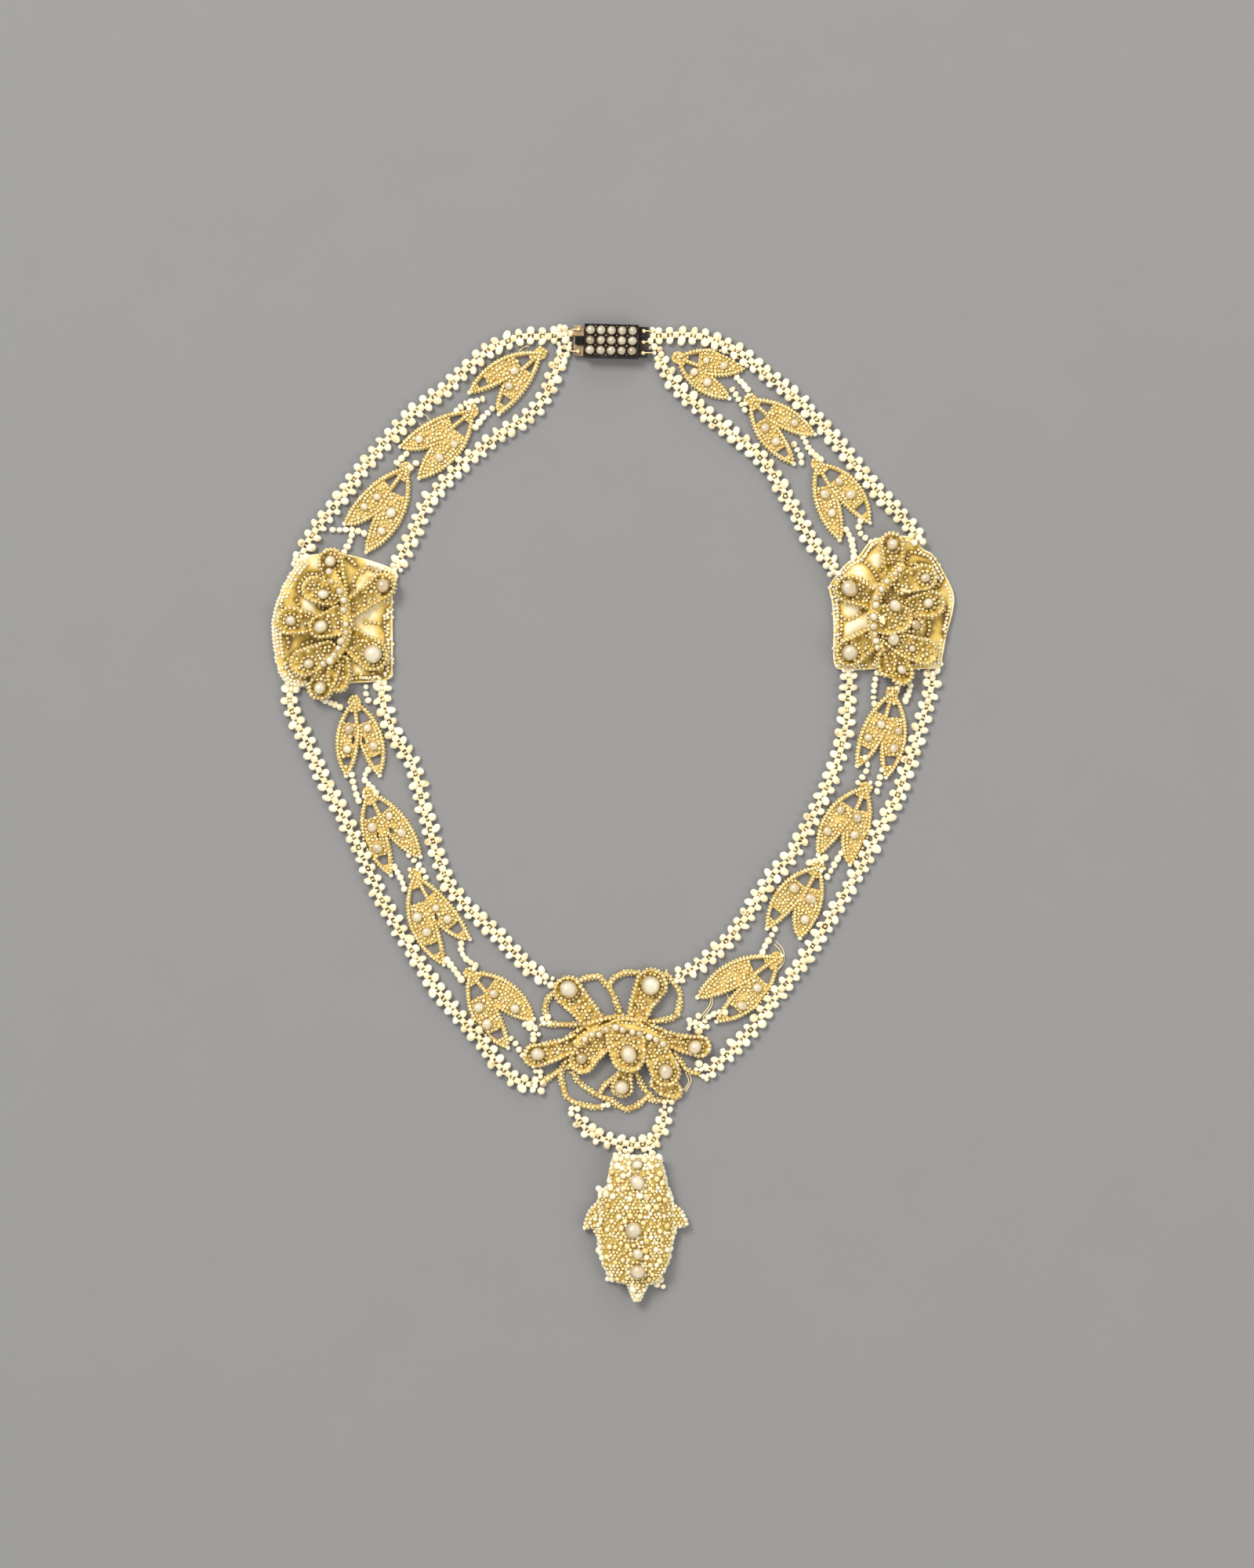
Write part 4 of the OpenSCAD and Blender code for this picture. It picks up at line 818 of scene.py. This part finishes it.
def weave(key, route):
    """Pearls in rings of four, one across between each pair of side pearls, with threads between."""
    h = Heap()
    steps = along(smooth(route, 6), HALF_RING)
    side = left_of(np.array([q for q, _ in steps]))
    rungs, sides = {}, {}
    for k, (q, d) in enumerate(steps):
        n = side[k]
        if k % 2 == 0:
            # The pearls across take a warmer tone: a painted glow in the middle of the band
            size = rng.uniform(*SEED_SIZES)
            at = np.array([*(q + n * rng.uniform(-0.16, 0.16)), rng.uniform(0.68, 0.84)])
            h.pearl(at, size, (*n, 0), fine=(10, 7), odd=0.09, tone=rng.uniform(0.2, 0.5))
            rungs[k] = at
            FLOOR_ROOM.add(*at[:2], size / 2)
            continue
        for e in (-1, 1):
            size = rng.uniform(*SIDE_SIZES)
            out = n * e * (SIDE_OUT + rng.uniform(-0.1, 0.12))
            at = np.array([*(q + out + d * rng.uniform(-0.18, 0.18)), size / 2 + rng.uniform(0, 0.12)])
            h.pearl(at, size, (*(n + d * rng.uniform(-1.1, 1.1)), 0), fine=(11, 7), odd=0.15,
                    long=rng.uniform(0.96, 1.26))
            sides[k, e] = at
            FLOOR_ROOM.add(*at[:2], size / 2)
    # Threads from each side pearl to the pearls across: their golden colour is partly the old thread's,
    # partly a painted glow
    for (k, e), at in sides.items():
        for r in (k - 1, k + 1):
            if r in rungs:
                h.thread([at, rungs[r]], 0.5, 1, 5, 1)
    # Knots of golden thread in the middle of the band, whose colour also paints the glow between the pearls
    for q, _ in steps[1::2]:
        h.pearl((*q, 0.55), rng.uniform(0.6, 0.85), None, 1, (7, 5), 0.2)
    piece(h, "weave_" + key, "seed_pearl", [SEED, THREAD], "band_" + key)


def bead_strings(key, rows):
    """Short rows of single pearls."""
    h = Heap()
    for row in rows:
        for q, d in along(smooth(row, 4), STRING_PITCH):
            size = rng.uniform(*SEED_SIZES)
            h.pearl((*q, size / 2), size, d, fine=(11, 7), odd=0.14, long=rng.uniform(0.85, 1.08))
            FLOOR_ROOM.add(*q, size / 2)
    piece(h, "beads_" + key, "seed_pearl", [SEED], "strings_" + key)


for row in BANDS.items():
    weave(*row)
for row in STRINGS.items():
    bead_strings(*row)


# Sprigs

# Small pearls: radii, the share of them that is kept clear and the share of the diameter that sinks in.
# edge is the share of the radius at which the ground beside is tried, and stray a random shift
LEAF_RIM = {"sizes": (0.35, 0.42), "share": 0.8, "sink": 0.12, "edge": 0.3}
LEAF_ROW = {"sizes": (0.31, 0.47), "share": 0.85, "sink": 0.2, "stray": 0.13}
ON_LEAF = {"mats": (0,), "above": 0.4, "sink": 0.2}


def leaf(stem, tip, reach, side, first, last, rim, steps=24):
    """A leaf's closed outline between two shares of its length, inset by rim."""
    stem, tip = np.array(stem, float), np.array(tip, float)
    v = tip - stem
    n = side * np.array([-v[1], v[0]]) / np.linalg.norm(v)
    t = np.linspace(first, last, steps)
    middle = stem + np.outer(t, v)
    out = middle + np.outer(np.maximum(reach[0] * np.sin(np.pi * t) ** 0.7 - rim, 0.02), n)
    inn = middle - np.outer(np.maximum(reach[1] * np.sin(np.pi * t) ** 0.5 - rim, 0.02), n)
    return np.vstack([out, inn[::-1]])


SPRIG_PEARLS = {key: loose("sprig_pearls_" + key) for key in ("ul", "ur", "ll", "lr")}


def sprig(key, stem, tip_a, reach_a, tip_b, reach_b):
    """Two leaves: the CAD plate with its raised edging cut down, and small pearls in its place."""
    h = Heap()
    name = "sprig_" + key
    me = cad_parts[name].data
    v = np.array([p.co for p in me.vertices]) / MM
    v[:, 2] = np.where(v[:, 2] > LEAF_T + 0.01, LEAF_T + 0.04, v[:, 2])
    # The lower points of the leaf plate take more painted shade than its top
    h.put(v, [], [p.vertices[:] for p in me.polygons], 1, 0.5, np.where(v[:, 2] < 0.1, 0.6, 0.3))
    bed = Bed(h, [h.tree()], *[(x, y, d / 2) for x, y, d, _ in SPRIG_PEARLS[key[:2]]])
    stem = np.array(stem)
    a, b = np.subtract(tip_a, stem), np.subtract(tip_b, stem)
    side = 1 if a[0] * b[1] - a[1] * b[0] > 0 else -1
    leaves = [(tip_a, reach_a, -side), (tip_b, reach_b, side)]
    mid = (np.array(tip_a) + np.array(tip_b)) / 2
    for one, other in (leaves, leaves[::-1]):
        hidden = leaf(stem, *other, 0.06, 0.97, 0.75)
        edge = along(leaf(stem, *one, 0.0, 1.0, 0.32), 0.7, closed=True)
        bed.lay([step for step in edge if not inside(hidden, step[0])], **LEAF_RIM)
        for q, d in along(leaf(stem, *one, 0.02, 1.0, 0.02), 0.8, closed=True):
            if not inside(hidden, q):
                h.pearl((*q, rng.uniform(0.38, 0.46)), rng.uniform(0.6, 0.76), d, 0, (6, 4))
    for q, _ in along([stem, stem + 0.42 * (mid - stem)], 0.72):
        bed.seat(q, 0.38, 0.82, 0.1)
    for one in leaves:
        for inset in (1.05, 1.85):
            bed.lay(along(leaf(stem, *one, 0.08, 0.92, inset), 0.78, closed=True), **LEAF_ROW)
    low, high = np.min(v, 0), np.max(v, 0)
    bed.cover(low, high, 0.76, (0.32, 0.5), 0.97, share=0.84, **ON_LEAF)
    bed.cover(low, high, 0.5, (0.24, 0.34), 0.9, share=0.86, fine=(7, 5), **ON_LEAF)
    cluster(h, bed, *(stem + unit(stem - mid) * 0.2), 1.0, 6, 0.6, (0.4, 0.6), 2)
    for tip, _, _ in leaves:
        out = unit(np.subtract(tip, stem))
        h.pearl((*(tip + out * 0.1), 0.75), 1.0, out, 2, (10, 7), 0.1)
    piece(h, "leaf_" + key, "nacre", [GOLD_SEED, NACRE, SEED], name)


def set_pearls(name, node_name, shine, odd=0.1):
    """The larger pearls where the frame has them, and the one that has gone brown."""
    h = Heap()
    for x, y, d, high in loose(node_name):
        brown = math.hypot(x - BROWN_PEARL[0], y - BROWN_PEARL[1]) < 1
        axis = (rng.gauss(0, 1), rng.gauss(0, 1), 0.3)
        h.pearl((x, y, high - d / 2), d, axis, 0, (24, 15), odd, tone=-0.25 if brown else None)
    piece(h, name, "pearl", [shine], node_name)


for row in SPRIGS:
    sprig(*row)
for key in SPRIG_PEARLS:
    set_pearls("pearls_" + key, "sprig_pearls_" + key, PEARL)


# Flower ornaments

# The height and the hollow of the petals of each layer, and the width, foot and top of an arch and a bar
LAYERS = [(1.9, 0.9), (2.4, 0.7), (2.9, 0.8)]
ARCH_W, ARCH_FOOT, ARCH_TOP = 2.2, 0.1, 2.95
BAR_W, BAR_FOOT, BAR_TOP = 1.1, 0.05, 0.7
ON_BAR = {"sizes": (0.43, 0.52), "share": 0.86, "sink": 0.2, "edge": 0.3}
ON_RIM = {"share": 0.82, "sink": 0.22, "edge": 0.2, "stray": 0.1}
ROUND_EYE = {"sizes": (0.36, 0.46), "share": 0.84, "sink": 0.2}
IN_ROW = {"sizes": (0.35, 0.44), "share": 0.86, "sink": 0.2}
ON_ARCH = {"sizes": (0.32, 0.44), "share": 0.82, "sink": 0.2, "edge": 0.2}


def petal_line(petal, inset=0.0):
    """A petal's closed outline, round its right side, eye, left side and base, and its middle line."""
    route, (narrow, middle, wide), _ = petal
    line = smooth(route, 3)
    w = [narrow + (middle - narrow) * k / 3 for k in range(4)]
    w += [middle + (wide - middle) * k / 3 for k in range(1, 4)]
    w = np.maximum(np.array(w) - inset, 0.05)
    n = left_of(line)
    right, left = line - n * w[:, None], line + n * w[:, None]
    a = math.atan2(*(-n[-1])[::-1])
    eye = [line[-1] + w[-1] * np.array([math.cos(a + math.pi * k / 12), math.sin(a + math.pi * k / 12)])
           for k in range(1, 12)]
    back = np.array([-n[0][1], n[0][0]])
    base = [line[0] + w[0] * (n[0] * math.cos(math.pi * k / 6) + 0.5 * back * math.sin(math.pi * k / 6))
            for k in range(1, 6)]
    return np.vstack([right, eye, left[::-1], base]), line


def petal_cup(h, petal, base):
    """A petal as a fluted cup: a rolled rim round a smooth hollow."""
    height, hollow = LAYERS[petal[2]]
    edge, line = petal_line(petal)
    fine = np.array([q for q, _ in along(edge, 0.45, closed=True)])
    spine = np.array([q for q, _ in along(line, 0.3)])
    core = np.array([spine[np.argmin(np.linalg.norm(spine - q, axis=1))] for q in fine])
    # Each ring of the cup: its share of the way out from the middle line, its drop and its painted shade
    rings = [(1.0, -height, 0.95), (1.0, -0.75, 0.8), (1.0, -0.35, 0.4), (0.97, -0.1, 0.1), (0.9, 0.0, 0.0),
             (0.82, -0.1, 0.05), (0.74, -0.35 * hollow, 0.15), (0.62, -0.65 * hollow, 0.35),
             (0.48, -0.86 * hollow, 0.5), (0.33, -0.97 * hollow, 0.5), (0.18, -hollow, 0.42),
             (0.0, -0.98 * hollow, 0.4)]
    n = len(fine)
    flute = np.sin(2 * math.pi * np.arange(n) / n * max(5, round(n / 5)) + rng.uniform(*ANY_PHASE))
    reach = np.linalg.norm(fine - line[0], axis=1)
    # Painted shade: darker in the troughs of the flutes, and on the side ornaments darker towards the
    # petal's base
    shade = 0.35 * np.clip(1.1 - reach / reach.max(), 0, 1) if base > 0 else 0.0
    v, deep = [], []
    for share, drop, dark in rings:
        fold = flute * (max(0.0, math.sin(math.pi * (share - 0.1) / 0.8)) if 0.1 < share < 0.9 else 0.0)
        ring = core + (fine - core) * share
        v += [(*q, max(base + height + drop + 0.13 * f, 0.02)) for q, f in zip(ring, fold)]
        deep += list(dark - 0.3 * fold + shade)
    h.put(v, skin(len(rings), n), [], 1, 0.5, deep)
    h.thread([(*q, base + height - hollow - 0.14) for q in spine[::3]], 0.34, 1, 6, 2)


def strip(h, points, w, low, high, mat):
    """A rounded bar along a route, of eight points across, from the height low to high."""
    p = smooth(points, 4)
    n = left_of(p)
    rise = high - low
    # Each point across: its place across, its height, and its painted shade, darker towards the foot
    half = [(-0.5, low, 0.9), (-0.5, low + 0.5 * rise, 0.6), (-0.38, low + 0.85 * rise, 0.3),
            (-0.16, high, 0.1)]
    cross = half + [(-c, z, dark) for c, z, dark in half[::-1]]
    v = [(*(q + n[i] * w * c), z) for i, q in enumerate(p) for c, z, _ in cross]
    e = (len(p) - 1) * len(cross)
    # The sides, then three faces at each end
    quads = skin(len(p), len(cross))
    quads += [(k, 7 - k, 6 - k, k + 1) for k in range(3)]
    quads += [(e + k, e + k + 1, e + 6 - k, e + 7 - k) for k in range(3)]
    h.put(v, quads, [], mat, 0.5, [dark for _, _, dark in cross] * len(p))


def bloom(side, petals, arch, pearls, base, seeds, full, biggest, shell, bars=(), rows=(), under=()):
    """An ornament of petals, bars and an arch, edged and filled with small pearls."""
    h = Heap()
    name = "bloom_" + side
    eyes = loose(name + "_pearls")
    for p in petals:
        petal_cup(h, p, base)
    strip(h, arch, ARCH_W, base + ARCH_FOOT, base + ARCH_TOP, 1)
    for b in bars:
        strip(h, b, BAR_W, BAR_FOOT, BAR_TOP, 2)
    own = h.tree()
    bed = Bed(h, [own, *under], *[(x, y, 0.46 * d) for x, y, d, _ in eyes])
    for x, y, d in pearls:
        bed.add(x, y, d / 2)
        h.pearl((x, y, (top([own], x, y) or base + 2.2) + 0.2 * d), d, None, 3, (14, 10), 0.08)
    for b in bars:
        bed.lay(along(smooth(b, 4), 0.92), mats=seeds, **ON_BAR)
    for p in sorted(petals, key=lambda p: -p[2]):
        bed.lay(along(petal_line(p, 0.32)[0], 0.84, closed=True), (0.3, biggest), mats=seeds, **ON_RIM)
    for p in petals:
        for q, d in along(petal_line(p, -0.02)[0], 0.86, closed=True):
            z = base + LAYERS[p[2]][0] * 0.4 + 0.2
            if z > max(top(under, *q) or 0, 0.2) and rng.random() < 0.85:
                h.pearl((*q, z), rng.uniform(0.6, 0.8), d, seeds[-1], (7, 5))
    for x, y, d, _ in eyes:
        r = d / 2 + 0.42
        ring = [((x + r * c, y + r * s), None) for c, s in circle(max(6, round(2 * math.pi * r / 0.9)))]
        bed.lay(ring, mats=seeds, **ROUND_EYE)
    for row in rows:
        bed.lay(along(smooth(row, 4), 0.9), mats=seeds, **IN_ROW)
    line = smooth(arch, 3)
    for e in (-0.9, 0.9, -0.45, 0.45):
        bed.lay(along(line + left_of(line) * e, 0.82), mats=seeds, **ON_ARCH)
    for b in bars:
        line = smooth(b, 4)
        for e in (-0.5, 0.5):
            for q, _ in along(line + left_of(line) * e, 0.78):
                if bed.take(*q, 0.3, TIGHT):
                    h.pearl((*q, 0.5), 0.62, None, seeds[0], (8, 5))
    edges = np.vstack([petal_line(p)[0] for p in petals])
    bed.cover(edges.min(0), edges.max(0), 0.84, (0.3, biggest), full, seeds, base + 0.3, 0.22, 0.84)
    piece(h, name + "_dress", "nacre", [RELIEF_SEED, shell, NACRE, PEARL, GOLD_SEED], name)


# Silk-covered plates

# The rings of pearls round a plate: inset, height and radius
EDGE_RINGS = ((0.05, 0.7, 0.38), (0.3, 1.42, 0.38), (0.95, 1.72, 0.36), (1.7, 1.9, 0.36))
RIM, INNER = EDGE_RINGS[1][0], EDGE_RINGS[2][0]
# The rounded edge of a card: inset and height
CARD_EDGE = ((0.35, 0.0), (0.08, 0.12), (0.0, 0.45), (0.0, 1.05), (0.12, 1.32))
# The silk's swell and its tuck along a row: reach to the side and height
SWELL, SWELL_H = 1.7, 0.5
TUCK, TUCK_H = 0.75, 0.3


def beaded_left(x, y, inset):
    """How closely the left plate is beaded at a place of one of its rings."""
    if x < -64:
        return 0.9 - 0.25 * inset
    if inset == INNER and x > -52:
        return 0.8
    return 0.2 if y < 50 else 0.0


def beaded_right(x, y, inset):
    """How closely the right plate is beaded at a place of one of its rings."""
    if inset == INNER:
        return 0.9
    return 0.6 if x < 50 and inset == RIM else 0.06


def plate(name, outline, rows, pale, beaded):
    """A card under silk, which swells between the rows of pearls and is drawn in along them."""
    h = Heap()
    loop = smooth(outline, 6, True)
    c = loop.mean(0)
    n = len(loop)
    v = [(*q, z) for inset, z in CARD_EDGE for q in loop_in(loop, inset)]
    # The card's edge is made paler than the silk on top
    deep = [-0.7] * len(v)
    inner = loop_in(loop, 0.4)
    seams = np.vstack([smooth(r, 5) for r in rows])
    for share in np.linspace(1.0, 0.02, 34):
        ring = c + (inner - c) * share
        gap = np.min(np.linalg.norm(ring[:, None] - seams[None], axis=2), axis=1)
        swell = (1 - np.exp(-(gap / SWELL) ** 2)) * (1 - share ** 8)
        tuck = np.exp(-(gap / TUCK) ** 2)
        v += [(*q, SILK_T - 0.04 + SWELL_H * s - TUCK_H * k) for q, s, k in zip(ring, swell, tuck)]
        # Paler where the silk is paler; painted shade in the tucks along the rows and about the middle of
        # the plate
        light = np.sum([np.exp(-(np.linalg.norm(ring - s[:2], axis=1) / s[2]) ** 2) for s in pale], 0)
        dark = 0.3 * np.exp(-(np.linalg.norm(ring - c, axis=1) / 6) ** 2)
        deep += list(0.95 * tuck + dark - 0.9 * light)
    last = len(v)
    tris = fan(last, last - n, n) + fan(last + 1, 0, n, True)
    h.put(v + [(*c, SILK_T), (*c, 0.0)], skin(last // n, n), tris, 0, 0.5, deep + [0.3, 0.5])
    tree = h.tree()
    for inset, z, r in EDGE_RINGS:
        for q, d in along(loop_in(loop, inset), 0.8, closed=True):
            if rng.random() < beaded(*q, inset):
                h.pearl((*q, z), 2 * r * rng.uniform(0.88, 1.12), d, 1)
    piece(h, name + "_silk", "silk", [SILK, SEED], name)
    return tree


silk_left = plate("plaque_left", PLATE_LEFT, ROWS_LEFT, PALE_LEFT, beaded_left)
silk_right = plate("plaque_right", PLATE_RIGHT, ROWS_RIGHT, PALE_RIGHT, beaded_right)
bloom("centre", PETALS_CENTRE, ARCH_CENTRE, ALONG_CENTRE, 0.0, (4, 4, 4, 0), 0.97, 0.54, SHELL, BARS)
bloom("left", PETALS_LEFT, ARCH_LEFT, ALONG_LEFT, SILK_T + GAP, (0, 0, 4, 4), 0.6, 0.46, GILT_SHELL,
      rows=ROWS_LEFT, under=[silk_left])
bloom("right", PETALS_RIGHT, ARCH_RIGHT, ALONG_RIGHT, SILK_T + GAP, (0, 0, 4, 4), 0.6, 0.46, GILT_SHELL,
      rows=ROWS_RIGHT, under=[silk_right])
for key in ("centre", "left", "right"):
    set_pearls("pearls_" + key, "bloom_%s_pearls" % key, PEARL)


# Pendant

# The pendant's tip, and the corners of its neck, its dome and all of it
TIP = (5.05, -99.2)
NECK_X, NECK_Y, NECK_FOOT = (0.5, 9.5), (-74.6, -72.3), -74.2
DOME_X, DOME_Y = (-3, 12.6), (-99, -73)
NECK_TRIES, DOME_TRIES = 90, 200
DROP_LOW, DROP_HIGH = (-6.2, -103), (15.6, -72.7)


def pendant_crust():
    """The crust of pearls on the pendant's body, wings and tip."""
    h = Heap()
    bed = Bed(h, [tree_of("pendant_body")], *[(x, y, 0.46 * d) for x, y, d, _ in loose("pendant_pearls")])
    loop = smooth(PENDANT, 6, True)
    for inset, z, phase in ((0.1, 0.75, 0.0), (0.12, 1.85, 0.5)):
        for q, d in along(loop_in(loop, inset), 1.18, phase, closed=True):
            r = rng.uniform(0.52, 0.76)
            x, up = jitter(0.15)
            h.pearl((q[0] + x, q[1], z + up), 2 * r, d, 0, (12, 8), 0.12)
    for wing in (WING_LEFT, WING_RIGHT):
        for q, d in along(smooth(wing, 3), 0.9):
            r = rng.uniform(0.38, 0.5)
            h.pearl((*q, 1.0), 2 * r, d, 0, (10, 7), 0.1)
            h.pearl((*q, 1.9), 1.8 * r, d, 0, (10, 7), 0.1)
    for x, y, d in TIP_PEARLS:
        bed.add(x, y, d / 2)
        h.pearl((x, y, max(bed.high(x, y) or 0.5, 0.5) + 0.15 * d), d, None, 0, (14, 10))
    for k in range(6):
        for e in (-1, 1):
            x, y = TIP[0] + e * (2.0 - 0.29 * k), TIP[1] - 0.6 * k
            h.pearl((x, y, max(bed.high(x, y) or 0.9, 0.9)), rng.uniform(0.8, 1.05), None, 0, (10, 7))
    for _ in range(NECK_TRIES):
        q = (rng.uniform(*NECK_X), rng.uniform(*NECK_Y))
        r = rng.uniform(0.5, 0.78)
        if bed.take(*q, r, 0.78):
            high = bed.high(*q)
            z = high + 0.2 * r if high else bed.high(q[0], NECK_FOOT) - rng.uniform(0.1, 1.0)
            h.pearl((*q, z), 2 * r, None, 0, (12, 8), 0.1)
    for _ in range(DOME_TRIES):
        q = (rng.uniform(*DOME_X), rng.uniform(*DOME_Y))
        if (bed.high(*q) or 0) > 3:
            bed.seat(q, rng.uniform(0.45, 0.78), 0.88, 0.22, rng.choice((0, 1, 1)), (12, 8))
    for pitch in (0.78, 0.66):
        bed.cover(DROP_LOW, DROP_HIGH, pitch, (0.3, 0.48), 0.97, (0, 1, 1, 1), 0.3, 0.2, 0.8)
    piece(h, "pendant_beads", "seed_pearl", [SEED, GOLD_SEED])


pendant_crust()
set_pearls("pearls_pendant", "pendant_pearls", PEARL)


# Tied pearls, loose threads and torn silk

def tied_pearls():
    """Loose pearls tied in where bands and strings end."""
    h = Heap()
    for row in TIED:
        cluster(h, FLOOR_ROOM, *row)
    piece(h, "tied_pearls", "seed_pearl", [SEED])


# The thickness of a scrap
SCRAP_T = 0.09


def scrap(h, trees, x, y, turn, length, width, rise):
    """A torn scrap of silk that curls up from the ornament under it."""
    z = top(trees, x, y)
    c, s = math.cos(turn), math.sin(turn)
    v = []
    for i in range(6):
        u = i / 5
        wide = width * (1 - 0.75 * u * u) * rng.uniform(0.75, 1.15)
        bend = rng.uniform(-0.12, 0.12)
        middle = z + 0.2 + rise * u * u
        layer = [(u, bend + e * wide / 2, middle + 0.3 * e * e) for e in (-1, -0.5, 0, 0.5, 1)]
        layer += [(a, b, k - SCRAP_T) for a, b, k in layer[::-1]]
        v += [(x + c * a * length - s * b, y + s * a * length + c * b, k) for a, b, k in layer]
    # The sides, then four faces at each end
    quads = skin(6, 10)
    quads += [(9 - k, 8 - k, k + 1, k) for k in range(4)]
    quads += [(50 + k, 51 + k, 58 - k, 59 - k) for k in range(4)]
    h.put(v, quads, [], 1, 0.5, -0.3)


def loose_threads():
    """The frayed ends: bits of thread, and the torn silk of the right ornament."""
    h = Heap()
    for row in LOOSE_THREADS:
        p = np.reshape(row, (-1, 2))
        h.thread([(*q, 1.0 if k in (0, len(p) - 1) else 0.4) for k, q in enumerate(p)], 0.2, 0, 6, 5)
    trees = [tree_of("bloom_right", "plaque_right")]
    for row in SCRAPS:
        scrap(h, trees, *row)
    piece(h, "loose_threads", "silk", [THREAD, SILK])


tied_pearls()
loose_threads()


# Clasp

# Steps between the half pearls, their rows and the thread holes, and the top of an end plate
PEARL_STEP, ROW_STEP, HOLE_STEP = 2.2, 2.12, 2.3
PLATE_TOP = 1.95


def clasp_place(x, y, z):
    """A place on the clasp, measured from its middle and along its length."""
    c, s = math.cos(CLASP_TURN), math.sin(CLASP_TURN)
    return (CLASP_AT[0] + c * x - s * y, CLASP_AT[1] + s * x + c * y, z)


def clasp_claws():
    """The gilt grains between the rows of half pearls and along both sides."""
    h = Heap()
    grains = [(e * ROW_STEP, 3.25, 0.66) for e in (-0.5, 0.5)], [(y, 3.2, 0.5) for y in (-3.0, 3.0)]
    for rows in grains:
        for i in range(-2, 2):
            for y, z, d in rows:
                h.pearl(clasp_place((i + 0.5) * PEARL_STEP, y, z), d, UPWARD, 0, (8, 6), 0.1)
    piece(h, "clasp_claws", "worn_gilt", [GILT])


def clasp_threads():
    """The knots and threads that tie the bands to the two end plates."""
    h = Heap()
    for way, x, lift, holes in ((1, 6.75, 0.1, (-1, 0, 1)), (-1, -6.9, 0.0, (-1, 1))):
        for k in holes:
            y = HOLE_STEP * k
            h.pearl(clasp_place(x, y, PLATE_TOP), 0.85, UPWARD, 0, (12, 8), 0.12)
            h.thread([clasp_place(x, y, 2.0), clasp_place(x + way * 0.9, y + lift, PLATE_TOP),
                      clasp_place(x + way * 1.9, 2.1 * k, 1.2)], 0.24)
    piece(h, "clasp_threads", "silk", [THREAD])


set_pearls("pearls_clasp", "clasp_pearls", CLASP_PEARL, 0.035)
clasp_claws()
clasp_threads()


# The stage

# In metres, the lens and sensor in millimetres
FLOOR_HALF = 3
CAMERA_AT = (0.00289, 0.00602, 0.9167)
LENS, SENSOR = 100, 36
DAYLIGHT = 0.82


def floor():
    """A plain pale paper floor."""
    me = bpy.data.meshes.new("floor")
    corners = [(x * FLOOR_HALF, y * FLOOR_HALF, 0) for x, y in ((-1, -1), (1, -1), (1, 1), (-1, 1))]
    me.from_pydata(corners, [], [(0, 1, 2, 3)])
    ob = bpy.data.objects.new("floor", me)
    bpy.context.scene.collection.objects.link(ob)
    m, t, b = material("floor_paper")
    paper = ramp(t, noise(t, 60, 3, 0.5), (0.0, (0.202, 0.198, 0.193)), (1.0, (0.209, 0.205, 0.200)))
    feed(t, b, {"Base Color": paper, "Roughness": 0.9, "Specular IOR Level": 0.1})
    me.materials.append(m)


def lamp(name, at, size, energy, shines):
    """A round lamp that faces the object; shines says if the pearls reflect it."""
    d = bpy.data.lights.new(name, "AREA")
    d.shape = "DISK"
    d.size = size
    d.energy = energy
    ob = bpy.data.objects.new(name, d)
    ob.location = at
    ob.rotation_mode = "QUATERNION"
    ob.rotation_quaternion = (-Vector(at)).to_track_quat("-Z", "Y")
    ob.visible_glossy = shines
    bpy.context.scene.collection.objects.link(ob)


def studio_light():
    """Even white light from all sides, and plain colours in the picture."""
    world = bpy.data.worlds.new("studio")
    world.use_nodes = True
    feed(world.node_tree, world.node_tree.nodes["Background"], {0: (1, 1, 1, 1), 1: DAYLIGHT})
    bpy.context.scene.world = world
    bpy.context.scene.view_settings.view_transform = "Standard"


def camera():
    """The camera, straight above as in the photograph."""
    cam = bpy.data.cameras.new("camera")
    cam.sensor_width = SENSOR
    cam.lens = LENS
    cam.clip_start = 0.01
    cam.clip_end = 20
    ob = bpy.data.objects.new("camera", cam)
    ob.location = CAMERA_AT
    bpy.context.scene.collection.objects.link(ob)
    bpy.context.scene.camera = ob


floor()
lamp("key", (-0.75, 0.93, 1.5), 0.75, 29.5, True)
lamp("fill", (1.2, -0.6, 1.2), 1.2, 10.8, False)
lamp("rim", (0.4, 1.5, 0.75), 0.9, 8.0, False)
studio_light()
camera()
